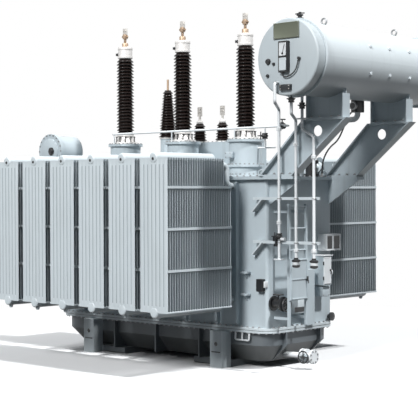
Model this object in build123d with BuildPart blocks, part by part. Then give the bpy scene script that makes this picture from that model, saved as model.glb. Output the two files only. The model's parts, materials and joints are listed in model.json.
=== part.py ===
"""Oil-filled power transformer with two radiator banks and an overhead conservator.

Millimetres. The origin is the middle of the footprint on the floor, +Z is up,
+X runs along the tank to the conservator, and -Y faces the near radiator bank.
"""

import os

from build123d import *

os.makedirs("parts", exist_ok=True)

# Tank
TANK_LENGTH = 4360
TANK_WIDTH = 1500
TANK_CORNER_RADIUS = 50
FLANGE_HEIGHT = 570
FLANGE_THICKNESS = 36
FLANGE_OVERHANG = 70
FLANGE_CORNER_RADIUS = 280
COVER_TOP = 2770
COVER_THICKNESS = 45
COVER_CORNER_RADIUS = 60
SHELF_LENGTH = 540
SHELF_WIDTH = 170
DRUM_SHELF_WIDTH = 400
DRUM_SHELF_LENGTH = 600
GUSSET_HEIGHT = 365
GUSSET_THICKNESS = 20
RIB_WIDTH = 40
RIB_DEPTH = 75
RIB_CORNER_RADIUS = 40
END_RIB_INSET = 540
RIB_CLEARANCE = 30
PAN_TAPER_HEIGHT = 245
PAN_TAPER_INSET = 200
PAN_BOTTOM_CORNER_RADIUS = 180
PAN_RIB_SPACING = 800
BEAM_HEIGHT = 100
BEAM_WIDTH = 740
BEAM_CHAMFER = 25
STIFFENER_THICKNESS = 24
STIFFENER_SPACING = 910
JACK_SPACING = 2740
JACK_WIDTH = 230
JACK_DEPTH = 200
JACK_HOLE_RADIUS = 32
JACK_HOLE_HEIGHT = 345
JACK_HOLE_DEPTH = 60
SEAT = 0.3

# Radiator banks
RADIATORS_PER_SIDE = 6
RADIATOR_PITCH = 629
PANEL_COUNT = 27
PANEL_PITCH = 49
PANEL_WIDTH = 520
PANEL_THICKNESS = 22
PANEL_BOTTOM = 916
PANEL_TOP = 3015
SHORT_PANELS = 3
SHORT_PANEL_TOP = 2650
HEADER_RADIUS = 78
HEADER_OVERHANG = 12
STACK_GAP = 376
TIE_HEIGHTS = (1483, 2049, 2615)
TIE_HEIGHT = 34
TIE_THICKNESS = 8
STUB_RADIUS = 44
STUB_FLANGE_RADIUS = 82
STUB_FLANGE_THICKNESS = 44
NECK_DROP = 300
NECK_BEND_RADIUS = 90
DRAIN_PLUG_RADIUS = 26
DRAIN_PLUG_LENGTH = 36

# High voltage bushings
HV_PITCH = 1296
HV_ROW_Y = -190
TURRET_RADIUS = 245
TURRET_FLANGE_RADIUS = 280
TURRET_FLANGE_THICKNESS = 36
TURRET_HEIGHT = 560
TURRET_JOINT_HEIGHT = 150
HV_COLLAR_RADIUS = 150
HV_COLLAR_HEIGHT = 160
PORCELAIN_HEIGHT = 1240
PORCELAIN_CORE_RADIUS = 92
PORCELAIN_SHED_RADIUS = 147
PORCELAIN_SHEDS = 16
HEAD_RADIUS = 113
HEAD_HEIGHT = 195
HV_STUD_RADIUS = 24
HV_STUD_HEIGHT = 300

# Low voltage and neutral bushings
LV_ROW_Y = 450
LV_CENTRE_X = 260
LV_PITCH = 490
LV_BOX_LENGTH = 1480
LV_BOX_WIDTH = 400
LV_BOX_HEIGHT = 570
LV_BASE_RADIUS = 100
LV_CORE_RADIUS = 58
LV_SHED_RADIUS = 100
LV_SHEDS = 3
LV_PORCELAIN_HEIGHT = 310
LV_STUD_RADIUS = 20
LV_FLAG_WIDTH = 90
LV_FLAG_THICKNESS = 18
LV_FLAG_HEIGHT = 150
LV_STUD_HEIGHT = 120
NEUTRAL_X = -950
NEUTRAL_TURRET_RADIUS = 125
NEUTRAL_TURRET_HEIGHT = 660
NEUTRAL_BASE_RADIUS = 124
NEUTRAL_TOP_RADIUS = 50
NEUTRAL_HEIGHT = 800
NEUTRAL_SHEDS = 8
NEUTRAL_SHED_STEP = 22
NEUTRAL_STUD_RADIUS = 18
NEUTRAL_STUD_HEIGHT = 180

# Conservator and its supports
CONSERVATOR_OFFSET = 1080
CONSERVATOR_RISE = 770
CONSERVATOR_RADIUS = 485
CONSERVATOR_LENGTH = 2900
CAP_LENGTH = 180
CAP_EDGE_RADIUS = 45
RING_RADIUS = 522
RING_THICKNESS = 28
SADDLE_SPREAD = 10
SADDLE_RISE = 770
SADDLE_PLATE_THICKNESS = 18
SADDLE_LENGTH = 620
SADDLE_WIDTH = 165
SADDLE_END_HEIGHT = 330
SADDLE_WEB_SHARE = 0.67
ARM_WIDTH = 170
ARM_WEB = 16
ARM_FLANGE = 22
ARM_FOOT_INSET = 80
ARM_FOOT_LENGTH = 590
ARM_HEAD_SETBACK = 367
ARM_HEAD_LENGTH = 735
ARM_HOLE_RADIUS = 75
ARM_HOLE_SETBACK = 165
ARM_HOLE_DROP = 160
GAUGE_WIDTH = 130
GAUGE_HEIGHT = 400
GAUGE_DEPTH = 60
GAUGE_OFFSET = 36

# Pipework
PIPE_RADIUS = 24
PIPE_SETOUTS = (320, 620, 930)
PIPE_BEND_RADIUS = 60
PIPE_BOTTOM_Z = 1620
PIPE_TOP_SETBACKS = (150, 135, 350)
OUTER_PIPE_RISE = 150
OUTER_PIPE_REACH = 75
MIDDLE_PIPE_INSET = 72
PIPE_DROPS = (105, 240, 420)
PIPE_FALLS = (25, 50, 110)
PIPE_VALVE_RADIUS = 46
PIPE_VALVE_LENGTH = 70
WALL_VALVE_Z = 1930
MIDDLE_VALVE_DROP = 48
INNER_VALVE_DROP = 98
BRACKET_HEIGHTS = (1843, 2455)
BRACKET_SIZE = 40
BRACKET_STANDOFF = 60
BRACKET_FOOT_LENGTH = 90
BRACKET_INSET = 180
BRACKET_END = 60
BRACE_RUN = 190
BRACE_WIDTH = 34
BREATHER_RADIUS = 62
BREATHER_HEIGHT = 120
RELAY_SETBACK = 295
RELAY_Y = 340
RELAY_DROP = 50
RELAY_LENGTH = 180
RELAY_RADIUS = 95
RELAY_PIPE_RADIUS = 40
RELAY_PIPE_FOOT_INSET = 60
RELAY_PIPE_DROP = 315
RELAY_PIPE_FALL = 20
RELAY_PIPE_BEND_RADIUS = 80
FOOT_VALVE_RADIUS = 112
FOOT_VALVE_NECK_RADIUS = 84
FOOT_VALVE_HEIGHT = 240
FOOT_VALVE_FLANGE = 45
VENT_PIPE_RADIUS = 16
VENT_RISER_RADIUS = 11
VENT_PIPE_OFFSET = 250
VENT_PIPE_RISE = 160
VENT_PIPE_OVERRUN = 50

# Fittings of the end wall
LADDER_GAP = 260
LADDER_INSET = 358
LADDER_WIDTH = 387
LADDER_STILE = 36
LADDER_STANDOFF_INSET = 110
LADDER_RUNG_RADIUS = 13
LADDER_BOTTOM = 640
LADDER_TOP = 2375
LADDER_RUNG_PITCH = 310
GUARD_HEIGHT = 590
GUARD_BOTTOM = 1010
GUARD_THICKNESS = 12
DUCT_Y = 110
DUCT_WIDTH = 180
DUCT_DEPTH = 110
DUCT_TOP = 1410
CABINET_Y = 400
CABINET_WIDTH = 200
CABINET_HEIGHT = 430
CABINET_BOTTOM = 1170
CABINET_DEPTH = 190
GAUGE_FRAME_INSET = 155
GAUGE_FRAME_WIDTH = 350
GAUGE_FRAME_HEIGHT = 245
GAUGE_FRAME_BOTTOM = 1675
GAUGE_FRAME_DEPTH = 170
FILTER_VALVE_INSET = 130
FILTER_VALVE_Z = 960
VALVE_BODY_RADIUS = 60
VALVE_FLANGE_RADIUS = 105
VALVE_FLANGE_THICKNESS = 24
VALVE_LENGTH = 190
WHEEL_RADIUS = 80
WHEEL_THICKNESS = 16
VALVE_STEM_RADIUS = 14
VALVE_STEM_LENGTH = 120
DRAIN_Y = -220
DRAIN_Z = 190
DRAIN_PIPE_RADIUS = 42
DRAIN_LENGTH = 400

# Drum at the other end
DRUM_OFFSET = 350
DRUM_LENGTH = 500
DRUM_RADIUS = 255
DRUM_RISE = 470
DRUM_RIM_RADIUS = 285
DRUM_RIM_THICKNESS = 30
DRUM_NECK_RADIUS = 170

# Levels and half sizes that several pieces share
TANK_END = TANK_LENGTH / 2
TANK_SIDE = TANK_WIDTH / 2
COVER_UNDERSIDE = COVER_TOP - COVER_THICKNESS
PAN_TOP = FLANGE_HEIGHT - FLANGE_THICKNESS
WALL_BOTTOM = FLANGE_HEIGHT + FLANGE_THICKNESS
FLANGE_SIDE = TANK_SIDE + FLANGE_OVERHANG
BEAM_SPACING = JACK_SPACING + JACK_WIDTH - BEAM_WIDTH
STACK_DEPTH = (PANEL_COUNT - 1) * PANEL_PITCH + PANEL_THICKNESS
STACK_INNER = TANK_SIDE + STACK_GAP
STACK_MIDDLE = STACK_INNER + STACK_DEPTH / 2
SHORT_DEPTH = SHORT_PANELS * PANEL_PITCH
BANK_OFFSET = (RADIATORS_PER_SIDE - 1) / 2
RADIATOR_X = [(number - BANK_OFFSET) * RADIATOR_PITCH for number in range(RADIATORS_PER_SIDE)]
HV_X = (-HV_PITCH, 0, HV_PITCH)
TURRET_TOP = COVER_TOP + TURRET_HEIGHT
PORCELAIN_BOTTOM = TURRET_TOP + HV_COLLAR_HEIGHT
PORCELAIN_TOP = PORCELAIN_BOTTOM + PORCELAIN_HEIGHT
SHED_RIM_SHARE = 0.3
SADDLE_Y = TANK_SIDE + SADDLE_SPREAD
SADDLE_BASE_Z = COVER_TOP + SADDLE_RISE
CONSERVATOR_X = TANK_END + CONSERVATOR_OFFSET
CONSERVATOR_Z = SADDLE_BASE_Z + CONSERVATOR_RISE
CONSERVATOR_UNDERSIDE = CONSERVATOR_Z - CONSERVATOR_RADIUS
CONSERVATOR_FRONT_Y = -CONSERVATOR_LENGTH / 2
CAP_FRONT_Y = CONSERVATOR_FRONT_Y - CAP_LENGTH
ARM_FOOT_START = TANK_END - ARM_FOOT_INSET
ARM_HEAD_START = CONSERVATOR_X - ARM_HEAD_SETBACK
BRACKET_DEPTH = BRACKET_STANDOFF + BRACKET_SIZE
BRACKET_Y = -TANK_SIDE - BRACKET_STANDOFF - BRACKET_SIZE / 2
PIPE_Y = -TANK_SIDE - BRACKET_DEPTH - PIPE_RADIUS - SEAT
PIPE_X = [TANK_END + setout for setout in PIPE_SETOUTS]
PIPE_TOP_X = [CONSERVATOR_X - setback for setback in PIPE_TOP_SETBACKS]
MIDDLE_PIPE_TOP_Y = CONSERVATOR_FRONT_Y + MIDDLE_PIPE_INSET
RELAY_X = CONSERVATOR_X - RELAY_SETBACK
RELAY_Z = CONSERVATOR_UNDERSIDE - RELAY_DROP
RELAY_FOOT_X = TANK_END - RELAY_PIPE_FOOT_INSET
VENT_PIPE_Y = HV_ROW_Y - VENT_PIPE_OFFSET
VENT_PIPE_Z = TURRET_TOP + VENT_PIPE_RISE
LADDER_X = TANK_END + LADDER_GAP
LADDER_Y = LADDER_INSET - TANK_SIDE
FILTER_VALVE_Y = FILTER_VALVE_INSET - TANK_SIDE
GAUGE_FRAME_Y = TANK_SIDE - GAUGE_FRAME_INSET
DRUM_X = -TANK_END - DRUM_OFFSET
DRUM_FRONT_Y = -TANK_SIDE
DRUM_Z = COVER_TOP + DRUM_RISE


def save(name, part):
    """Label one piece and write it to its own file."""
    part.label = name
    export_step(part, f"parts/{name}.step")


def upright(x, y, z=0):
    """A vertical sketch plane at a point, its own x along +X and its own y along +Z."""
    return Plane(origin=(x, y, z), x_dir=(1, 0, 0), z_dir=(0, -1, 0))


def shed_profile(core, sheds, height, count):
    """Half outline of an insulator: sharp sheds that slope down from the core to their rims."""
    pitch = height / count
    outline = [(0, 0)]
    for number in range(count):
        foot = number * pitch
        rim = sheds(number)
        outline.append((core(number), foot))
        outline.append((rim, foot + pitch * SHED_RIM_SHARE))
    outline.append((core(count), height))
    outline.append((0, height))
    return outline


# Lower tank, round at its corners, with a foot drawn in on every side
TAPER_TOP = BEAM_HEIGHT + PAN_TAPER_HEIGHT
PAN_FOOT_X = TANK_END - PAN_TAPER_INSET
with BuildPart() as lower_tank:
    with BuildSketch(Plane.XY.offset(TAPER_TOP)):
        RectangleRounded(TANK_LENGTH, TANK_WIDTH, FLANGE_CORNER_RADIUS)
    extrude(amount=PAN_TOP - TAPER_TOP)
    with BuildSketch(Plane.XY.offset(BEAM_HEIGHT)):
        RectangleRounded(2 * PAN_FOOT_X, TANK_WIDTH - 2 * PAN_TAPER_INSET, PAN_BOTTOM_CORNER_RADIUS)
    with BuildSketch(Plane.XY.offset(TAPER_TOP)):
        RectangleRounded(TANK_LENGTH, TANK_WIDTH, FLANGE_CORNER_RADIUS)
    loft()
    # Stiffeners stand out to the rim of the flange, on both long sides
    with Locations((0, 0, (PAN_TOP + BEAM_HEIGHT) / 2)):
        with GridLocations(STIFFENER_SPACING, 0, 3, 1):
            Box(STIFFENER_THICKNESS, 2 * FLANGE_SIDE, PAN_TOP - BEAM_HEIGHT)
    # Ribs on both ends follow the taper
    for y in (-PAN_RIB_SPACING / 2, PAN_RIB_SPACING / 2):
        with BuildSketch(upright(0, y + STIFFENER_THICKNESS / 2)):
            with BuildLine():
                Polyline(
                    (TANK_END + FLANGE_OVERHANG, PAN_TOP),
                    (TANK_END + FLANGE_OVERHANG, TAPER_TOP),
                    (PAN_FOOT_X, BEAM_HEIGHT),
                    (-PAN_FOOT_X, BEAM_HEIGHT),
                    (-TANK_END - FLANGE_OVERHANG, TAPER_TOP),
                    (-TANK_END - FLANGE_OVERHANG, PAN_TOP),
                    close=True,
                )
            make_face()
        extrude(amount=STIFFENER_THICKNESS)
save("lower_tank", lower_tank.part)

# Base beams across the tank
with BuildPart() as base_beams:
    with BuildSketch(Plane.XY):
        with GridLocations(BEAM_SPACING, 0, 2, 1):
            Rectangle(BEAM_WIDTH, TANK_WIDTH)
    extrude(amount=BEAM_HEIGHT)
    chamfer(base_beams.faces().sort_by(Axis.Z)[:2].edges().filter_by(Axis.X), length=BEAM_CHAMFER)
save("base_beams", base_beams.part)

# Jacking brackets, each with a blind socket for the jack's hook
JACK_Y = TANK_SIDE + JACK_DEPTH / 2
with BuildPart() as jacking_brackets:
    with BuildSketch(Plane.XY):
        with GridLocations(JACK_SPACING, 2 * JACK_Y, 2, 2):
            Rectangle(JACK_WIDTH, JACK_DEPTH)
    extrude(amount=PAN_TOP)
    with Locations(upright(0, -TANK_SIDE - JACK_DEPTH, JACK_HOLE_HEIGHT)):
        with GridLocations(JACK_SPACING, 0, 2, 1):
            Hole(JACK_HOLE_RADIUS, depth=JACK_HOLE_DEPTH)
save("jacking_brackets", jacking_brackets.part)

# Bolted flange between the two halves of the tank
with BuildPart() as tank_flange:
    with BuildSketch(Plane.XY.offset(PAN_TOP)):
        RectangleRounded(TANK_LENGTH + 2 * FLANGE_OVERHANG, 2 * FLANGE_SIDE, FLANGE_CORNER_RADIUS)
    extrude(amount=2 * FLANGE_THICKNESS)
save("tank_flange", tank_flange.part)

# Upper tank with round-shouldered ribs between the radiators and near the corners
with BuildPart() as upper_tank:
    with BuildSketch(Plane.XY.offset(WALL_BOTTOM)):
        RectangleRounded(TANK_LENGTH, TANK_WIDTH, TANK_CORNER_RADIUS)
    extrude(amount=COVER_UNDERSIDE - WALL_BOTTOM)
    with BuildSketch(Plane.YZ.offset(-RIB_WIDTH / 2)):
        with Locations((0, (WALL_BOTTOM + COVER_UNDERSIDE) / 2)):
            RectangleRounded(
                TANK_WIDTH + 2 * RIB_DEPTH, COVER_UNDERSIDE - WALL_BOTTOM - 2 * RIB_CLEARANCE, RIB_CORNER_RADIUS
            )
    ribs = extrude(amount=RIB_WIDTH, mode=Mode.PRIVATE)
    with GridLocations(RADIATOR_PITCH, 0, RADIATORS_PER_SIDE - 1, 1):
        add(ribs)
    with GridLocations(TANK_LENGTH - 2 * END_RIB_INSET, 0, 2, 1):
        add(ribs)
save("upper_tank", upper_tank.part)

# Cover plate, with a shelf for each leaning arm and one for the drum
DRUM_MIDDLE_Y = DRUM_FRONT_Y + DRUM_LENGTH / 2
with BuildPart() as tank_cover:
    with BuildSketch(Plane.XY.offset(COVER_UNDERSIDE)):
        RectangleRounded(TANK_LENGTH + 2 * FLANGE_OVERHANG, 2 * FLANGE_SIDE, COVER_CORNER_RADIUS)
        with Locations((TANK_END, SADDLE_Y), (TANK_END, -SADDLE_Y)):
            Rectangle(SHELF_LENGTH, SHELF_WIDTH, align=(Align.MIN, Align.CENTER))
        with Locations((-TANK_END, DRUM_MIDDLE_Y)):
            Rectangle(DRUM_SHELF_LENGTH, DRUM_SHELF_WIDTH, align=(Align.MAX, Align.CENTER))
    extrude(amount=COVER_THICKNESS)
save("tank_cover", tank_cover.part)

# Gussets under the shelves
GUSSET_INSET = SHELF_WIDTH / 2
with BuildPart() as shelf_gussets:
    for end, y, reach in (
        (1, TANK_SIDE - TANK_CORNER_RADIUS, SHELF_LENGTH),
        (1, TANK_CORNER_RADIUS - TANK_SIDE + GUSSET_THICKNESS, SHELF_LENGTH),
        (-1, DRUM_MIDDLE_Y - GUSSET_INSET, DRUM_SHELF_LENGTH),
        (-1, DRUM_MIDDLE_Y + GUSSET_INSET, DRUM_SHELF_LENGTH),
    ):
        with BuildSketch(upright(end * TANK_END, y)):
            with BuildLine():
                Polyline(
                    (0, COVER_UNDERSIDE),
                    (end * reach, COVER_UNDERSIDE),
                    (end * reach, COVER_UNDERSIDE - GUSSET_THICKNESS),
                    (0, COVER_UNDERSIDE - GUSSET_HEIGHT),
                    close=True,
                )
            make_face()
        extrude(amount=GUSSET_THICKNESS)
save("shelf_gussets", shelf_gussets.part)

# One radiator: flat panels between two headers, the last few cut short below the neck
with BuildPart() as radiator:
    with BuildSketch(Plane.XY.offset(PANEL_BOTTOM)):
        with GridLocations(0, PANEL_PITCH, 1, PANEL_COUNT):
            Rectangle(PANEL_WIDTH, PANEL_THICKNESS)
    extrude(amount=PANEL_TOP - PANEL_BOTTOM)
    with BuildSketch(upright(0, -STACK_DEPTH / 2 - HEADER_OVERHANG)):
        with Locations((0, PANEL_TOP), (0, PANEL_BOTTOM)):
            Circle(HEADER_RADIUS)
        with Locations((0, (PANEL_TOP + PANEL_BOTTOM) / 2)):
            Rectangle(PANEL_WIDTH, PANEL_TOP - PANEL_BOTTOM, mode=Mode.SUBTRACT)
    extrude(amount=-STACK_DEPTH - 2 * HEADER_OVERHANG)
    with BuildSketch(Plane.XY.offset(SHORT_PANEL_TOP)):
        with Locations((0, STACK_DEPTH / 2 - SHORT_DEPTH + HEADER_OVERHANG)):
            Rectangle(PANEL_WIDTH, 2 * SHORT_DEPTH, align=(Align.CENTER, Align.MIN))
    extrude(amount=PANEL_TOP - SHORT_PANEL_TOP + HEADER_RADIUS, mode=Mode.SUBTRACT)
    with BuildSketch(Plane.XY.offset(PANEL_BOTTOM - HEADER_RADIUS - DRAIN_PLUG_LENGTH)):
        with Locations((0, -STACK_DEPTH / 2 + DRAIN_PLUG_RADIUS)):
            Circle(DRAIN_PLUG_RADIUS)
    extrude(amount=HEADER_RADIUS)

# Neck that drops from an upper header to the tank wall, below the cover
NECK_Z = PANEL_TOP - HEADER_RADIUS
with BuildPart() as neck:
    with BuildLine() as route:
        FilletPolyline(
            (0, TANK_SIDE, NECK_Z - NECK_DROP),
            (0, TANK_SIDE + STACK_GAP / 2, NECK_Z - NECK_DROP),
            (0, TANK_SIDE + STACK_GAP / 2, NECK_Z),
            (0, STACK_INNER + SHORT_DEPTH, NECK_Z),
            radius=NECK_BEND_RADIUS,
        )
    with BuildSketch(upright(0, TANK_SIDE, NECK_Z - NECK_DROP)):
        Circle(STUB_RADIUS)
    sweep(path=route.line)
    with BuildSketch(upright(0, STACK_INNER + SHORT_DEPTH - 2 * STUB_FLANGE_THICKNESS, NECK_Z)):
        Circle(STUB_FLANGE_RADIUS)
    extrude(amount=-STUB_FLANGE_THICKNESS)

# Straight stub with a flange pair, from the tank wall to a lower header
with BuildPart() as stub:
    with BuildSketch(upright(0, TANK_SIDE, PANEL_BOTTOM + HEADER_RADIUS)):
        Circle(STUB_RADIUS)
    extrude(amount=-STACK_GAP)
    with BuildSketch(upright(0, TANK_SIDE + STACK_GAP / 2, PANEL_BOTTOM + HEADER_RADIUS)):
        Circle(STUB_FLANGE_RADIUS)
    extrude(amount=-STUB_FLANGE_THICKNESS)

for bank, side in (("near", -1), ("far", 1)):
    turn = 90 - 90 * side
    with BuildPart() as radiators:
        with Locations(*[Location((x, side * STACK_MIDDLE, 0), (0, 0, turn + 180)) for x in RADIATOR_X]):
            add(radiator.part)
    save(f"{bank}_radiators", radiators.part)

    # Flat ties welded along both faces of every stack
    with BuildPart() as ties:
        for height in TIE_HEIGHTS:
            with Locations((0, side * STACK_MIDDLE, height)):
                with GridLocations(RADIATOR_PITCH, 0, RADIATORS_PER_SIDE, 1):
                    with GridLocations(PANEL_WIDTH + TIE_THICKNESS, 0, 2, 1):
                        Box(TIE_THICKNESS, STACK_DEPTH, TIE_HEIGHT)
    save(f"{bank}_radiator_ties", ties.part)

    with BuildPart() as stubs:
        with Locations(*[Location((x, 0, 0), (0, 0, turn)) for x in RADIATOR_X]):
            add(neck.part)
            add(stub.part)
    save(f"{bank}_radiator_stubs", stubs.part)

# High voltage turrets: a drum with three flanges and the bushing's collar on top
with BuildPart() as hv_turrets:
    for x in HV_X:
        with BuildSketch(upright(x, HV_ROW_Y)):
            with BuildLine():
                Polyline(
                    (0, COVER_TOP),
                    (TURRET_FLANGE_RADIUS, COVER_TOP),
                    (TURRET_FLANGE_RADIUS, COVER_TOP + TURRET_FLANGE_THICKNESS),
                    (TURRET_RADIUS, COVER_TOP + TURRET_FLANGE_THICKNESS),
                    (TURRET_RADIUS, COVER_TOP + TURRET_JOINT_HEIGHT),
                    (TURRET_FLANGE_RADIUS, COVER_TOP + TURRET_JOINT_HEIGHT),
                    (TURRET_FLANGE_RADIUS, COVER_TOP + TURRET_JOINT_HEIGHT + TURRET_FLANGE_THICKNESS),
                    (TURRET_RADIUS, COVER_TOP + TURRET_JOINT_HEIGHT + TURRET_FLANGE_THICKNESS),
                    (TURRET_RADIUS, TURRET_TOP - TURRET_FLANGE_THICKNESS),
                    (TURRET_FLANGE_RADIUS, TURRET_TOP - TURRET_FLANGE_THICKNESS),
                    (TURRET_FLANGE_RADIUS, TURRET_TOP),
                    (HV_COLLAR_RADIUS, TURRET_TOP),
                    (PORCELAIN_CORE_RADIUS, PORCELAIN_BOTTOM),
                    (0, PORCELAIN_BOTTOM),
                    close=True,
                )
            make_face()
        revolve(axis=Axis((x, HV_ROW_Y, 0), (0, 0, 1)))
save("hv_turrets", hv_turrets.part)

# Porcelain of the high voltage bushings
with BuildPart() as hv_bushings:
    for x in HV_X:
        with BuildSketch(upright(x, HV_ROW_Y, PORCELAIN_BOTTOM)):
            with BuildLine():
                Polyline(
                    *shed_profile(
                        lambda number: PORCELAIN_CORE_RADIUS,
                        lambda number: PORCELAIN_SHED_RADIUS,
                        PORCELAIN_HEIGHT,
                        PORCELAIN_SHEDS,
                    ),
                    close=True,
                )
            make_face()
        revolve(axis=Axis((x, HV_ROW_Y, 0), (0, 0, 1)))
save("hv_bushings", hv_bushings.part)

# Heads and studs of the three high voltage bushings
with BuildPart() as hv_terminals:
    for radius, foot, height in (
        (HEAD_RADIUS, PORCELAIN_TOP, HEAD_HEIGHT),
        (HV_STUD_RADIUS, PORCELAIN_TOP + HEAD_HEIGHT, HV_STUD_HEIGHT),
    ):
        with BuildSketch(Plane.XY.offset(foot)):
            with Locations((0, HV_ROW_Y)):
                with GridLocations(HV_PITCH, 0, len(HV_X), 1):
                    Circle(radius)
        extrude(amount=height)
save("hv_terminals", hv_terminals.part)

# Low voltage box with three small bushings and their flag terminals
LV_BOX_TOP = COVER_TOP + LV_BOX_HEIGHT
with BuildPart() as lv_turret:
    with BuildSketch(Plane.XY.offset(COVER_TOP)):
        with Locations((LV_CENTRE_X, LV_ROW_Y)):
            Rectangle(LV_BOX_LENGTH, LV_BOX_WIDTH)
    extrude(amount=LV_BOX_HEIGHT)
save("lv_turret", lv_turret.part)

with BuildPart() as lv_bushings:
    for number in (-1, 0, 1):
        x = LV_CENTRE_X + number * LV_PITCH
        with BuildSketch(upright(x, LV_ROW_Y, LV_BOX_TOP)):
            with BuildLine():
                Polyline(
                    *shed_profile(
                        lambda number: LV_CORE_RADIUS,
                        lambda number: LV_SHED_RADIUS,
                        LV_PORCELAIN_HEIGHT,
                        LV_SHEDS,
                    ),
                    close=True,
                )
            make_face()
        revolve(axis=Axis((x, LV_ROW_Y, 0), (0, 0, 1)))
save("lv_bushings", lv_bushings.part)

with BuildPart() as lv_terminals:
    with BuildSketch(Plane.XY.offset(LV_BOX_TOP + LV_PORCELAIN_HEIGHT)):
        with Locations((LV_CENTRE_X, LV_ROW_Y)):
            with GridLocations(LV_PITCH, 0, 3, 1):
                Circle(LV_STUD_RADIUS)
    extrude(amount=LV_STUD_HEIGHT)
    with BuildSketch(Plane.XY.offset(LV_BOX_TOP + LV_PORCELAIN_HEIGHT + LV_STUD_HEIGHT)):
        with Locations((LV_CENTRE_X, LV_ROW_Y)):
            with GridLocations(LV_PITCH, 0, 3, 1):
                Rectangle(LV_FLAG_WIDTH, LV_FLAG_THICKNESS)
    extrude(amount=LV_FLAG_HEIGHT)
save("lv_terminals", lv_terminals.part)

# Neutral bushing, tapered towards its stud
NEUTRAL_BOTTOM = COVER_TOP + NEUTRAL_TURRET_HEIGHT
with BuildPart() as neutral_turret:
    with BuildSketch(Plane.XY.offset(COVER_TOP)):
        with Locations((NEUTRAL_X, LV_ROW_Y)):
            Circle(NEUTRAL_TURRET_RADIUS)
    extrude(amount=NEUTRAL_TURRET_HEIGHT)
save("neutral_turret", neutral_turret.part)

NEUTRAL_STEP = (NEUTRAL_BASE_RADIUS - NEUTRAL_TOP_RADIUS) / NEUTRAL_SHEDS
with BuildPart() as neutral_bushing:
    with BuildSketch(upright(NEUTRAL_X, LV_ROW_Y, NEUTRAL_BOTTOM)):
        with BuildLine():
            Polyline(
                *shed_profile(
                    lambda number: NEUTRAL_BASE_RADIUS - NEUTRAL_SHED_STEP - number * NEUTRAL_STEP,
                    lambda number: NEUTRAL_BASE_RADIUS - number * NEUTRAL_STEP,
                    NEUTRAL_HEIGHT,
                    NEUTRAL_SHEDS,
                ),
                close=True,
            )
        make_face()
    revolve(axis=Axis((NEUTRAL_X, LV_ROW_Y, 0), (0, 0, 1)))
save("neutral_bushing", neutral_bushing.part)

with BuildPart() as neutral_terminal:
    with BuildSketch(Plane.XY.offset(NEUTRAL_BOTTOM + NEUTRAL_HEIGHT)):
        with Locations((NEUTRAL_X, LV_ROW_Y)):
            Circle(NEUTRAL_STUD_RADIUS)
    extrude(amount=NEUTRAL_STUD_HEIGHT)
save("neutral_terminal", neutral_terminal.part)

# Conservator: a drum across the end of the tank, with a bolted cap at each end
with BuildPart() as conservator:
    with BuildSketch(upright(CONSERVATOR_X, CONSERVATOR_FRONT_Y, CONSERVATOR_Z)):
        Circle(CONSERVATOR_RADIUS)
    extrude(amount=-CONSERVATOR_LENGTH)
    for start in (CONSERVATOR_FRONT_Y, -CONSERVATOR_FRONT_Y - RING_THICKNESS):
        with BuildSketch(upright(CONSERVATOR_X, start, CONSERVATOR_Z)):
            Circle(RING_RADIUS)
        extrude(amount=-RING_THICKNESS)
save("conservator", conservator.part)

with BuildPart() as conservator_end_caps:
    for side in (-1, 1):
        foot = -side * CONSERVATOR_FRONT_Y
        with BuildSketch(upright(CONSERVATOR_X, foot, CONSERVATOR_Z)):
            Circle(CONSERVATOR_RADIUS)
        cap = extrude(amount=-side * CAP_LENGTH)
        fillet(cap.faces().sort_by(Axis.Y)[-1 if side > 0 else 0].edges(), radius=CAP_EDGE_RADIUS)
        with BuildSketch(upright(CONSERVATOR_X, foot, CONSERVATOR_Z)):
            Circle(RING_RADIUS)
        extrude(amount=-side * RING_THICKNESS)
save("conservator_end_caps", conservator_end_caps.part)

# Saddles: a web cut round under the drum, with a plate at each end and a foot
SADDLE_X = ARM_HEAD_START + ARM_HEAD_LENGTH / 2
SADDLE_WEB_TOP = CONSERVATOR_Z - CONSERVATOR_RADIUS * SADDLE_WEB_SHARE
with BuildPart() as conservator_saddles:
    for side in (-1, 1):
        with BuildSketch(upright(SADDLE_X, side * SADDLE_Y + SADDLE_PLATE_THICKNESS / 2)):
            with Locations((0, (SADDLE_BASE_Z + SADDLE_WEB_TOP) / 2)):
                Rectangle(SADDLE_LENGTH, SADDLE_WEB_TOP - SADDLE_BASE_Z)
        extrude(amount=SADDLE_PLATE_THICKNESS)
        with Locations((SADDLE_X, side * SADDLE_Y, SADDLE_BASE_Z + SADDLE_END_HEIGHT / 2)):
            with GridLocations(SADDLE_LENGTH - SADDLE_PLATE_THICKNESS, 0, 2, 1):
                Box(SADDLE_PLATE_THICKNESS, SADDLE_WIDTH, SADDLE_END_HEIGHT)
        with Locations((SADDLE_X, side * SADDLE_Y, SADDLE_BASE_Z + SADDLE_PLATE_THICKNESS / 2)):
            Box(SADDLE_LENGTH, SADDLE_WIDTH, SADDLE_PLATE_THICKNESS)
    with BuildSketch(upright(CONSERVATOR_X, CONSERVATOR_FRONT_Y, CONSERVATOR_Z)):
        Circle(CONSERVATOR_RADIUS)
    extrude(amount=-CONSERVATOR_LENGTH, mode=Mode.SUBTRACT)
save("conservator_saddles", conservator_saddles.part)

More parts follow.
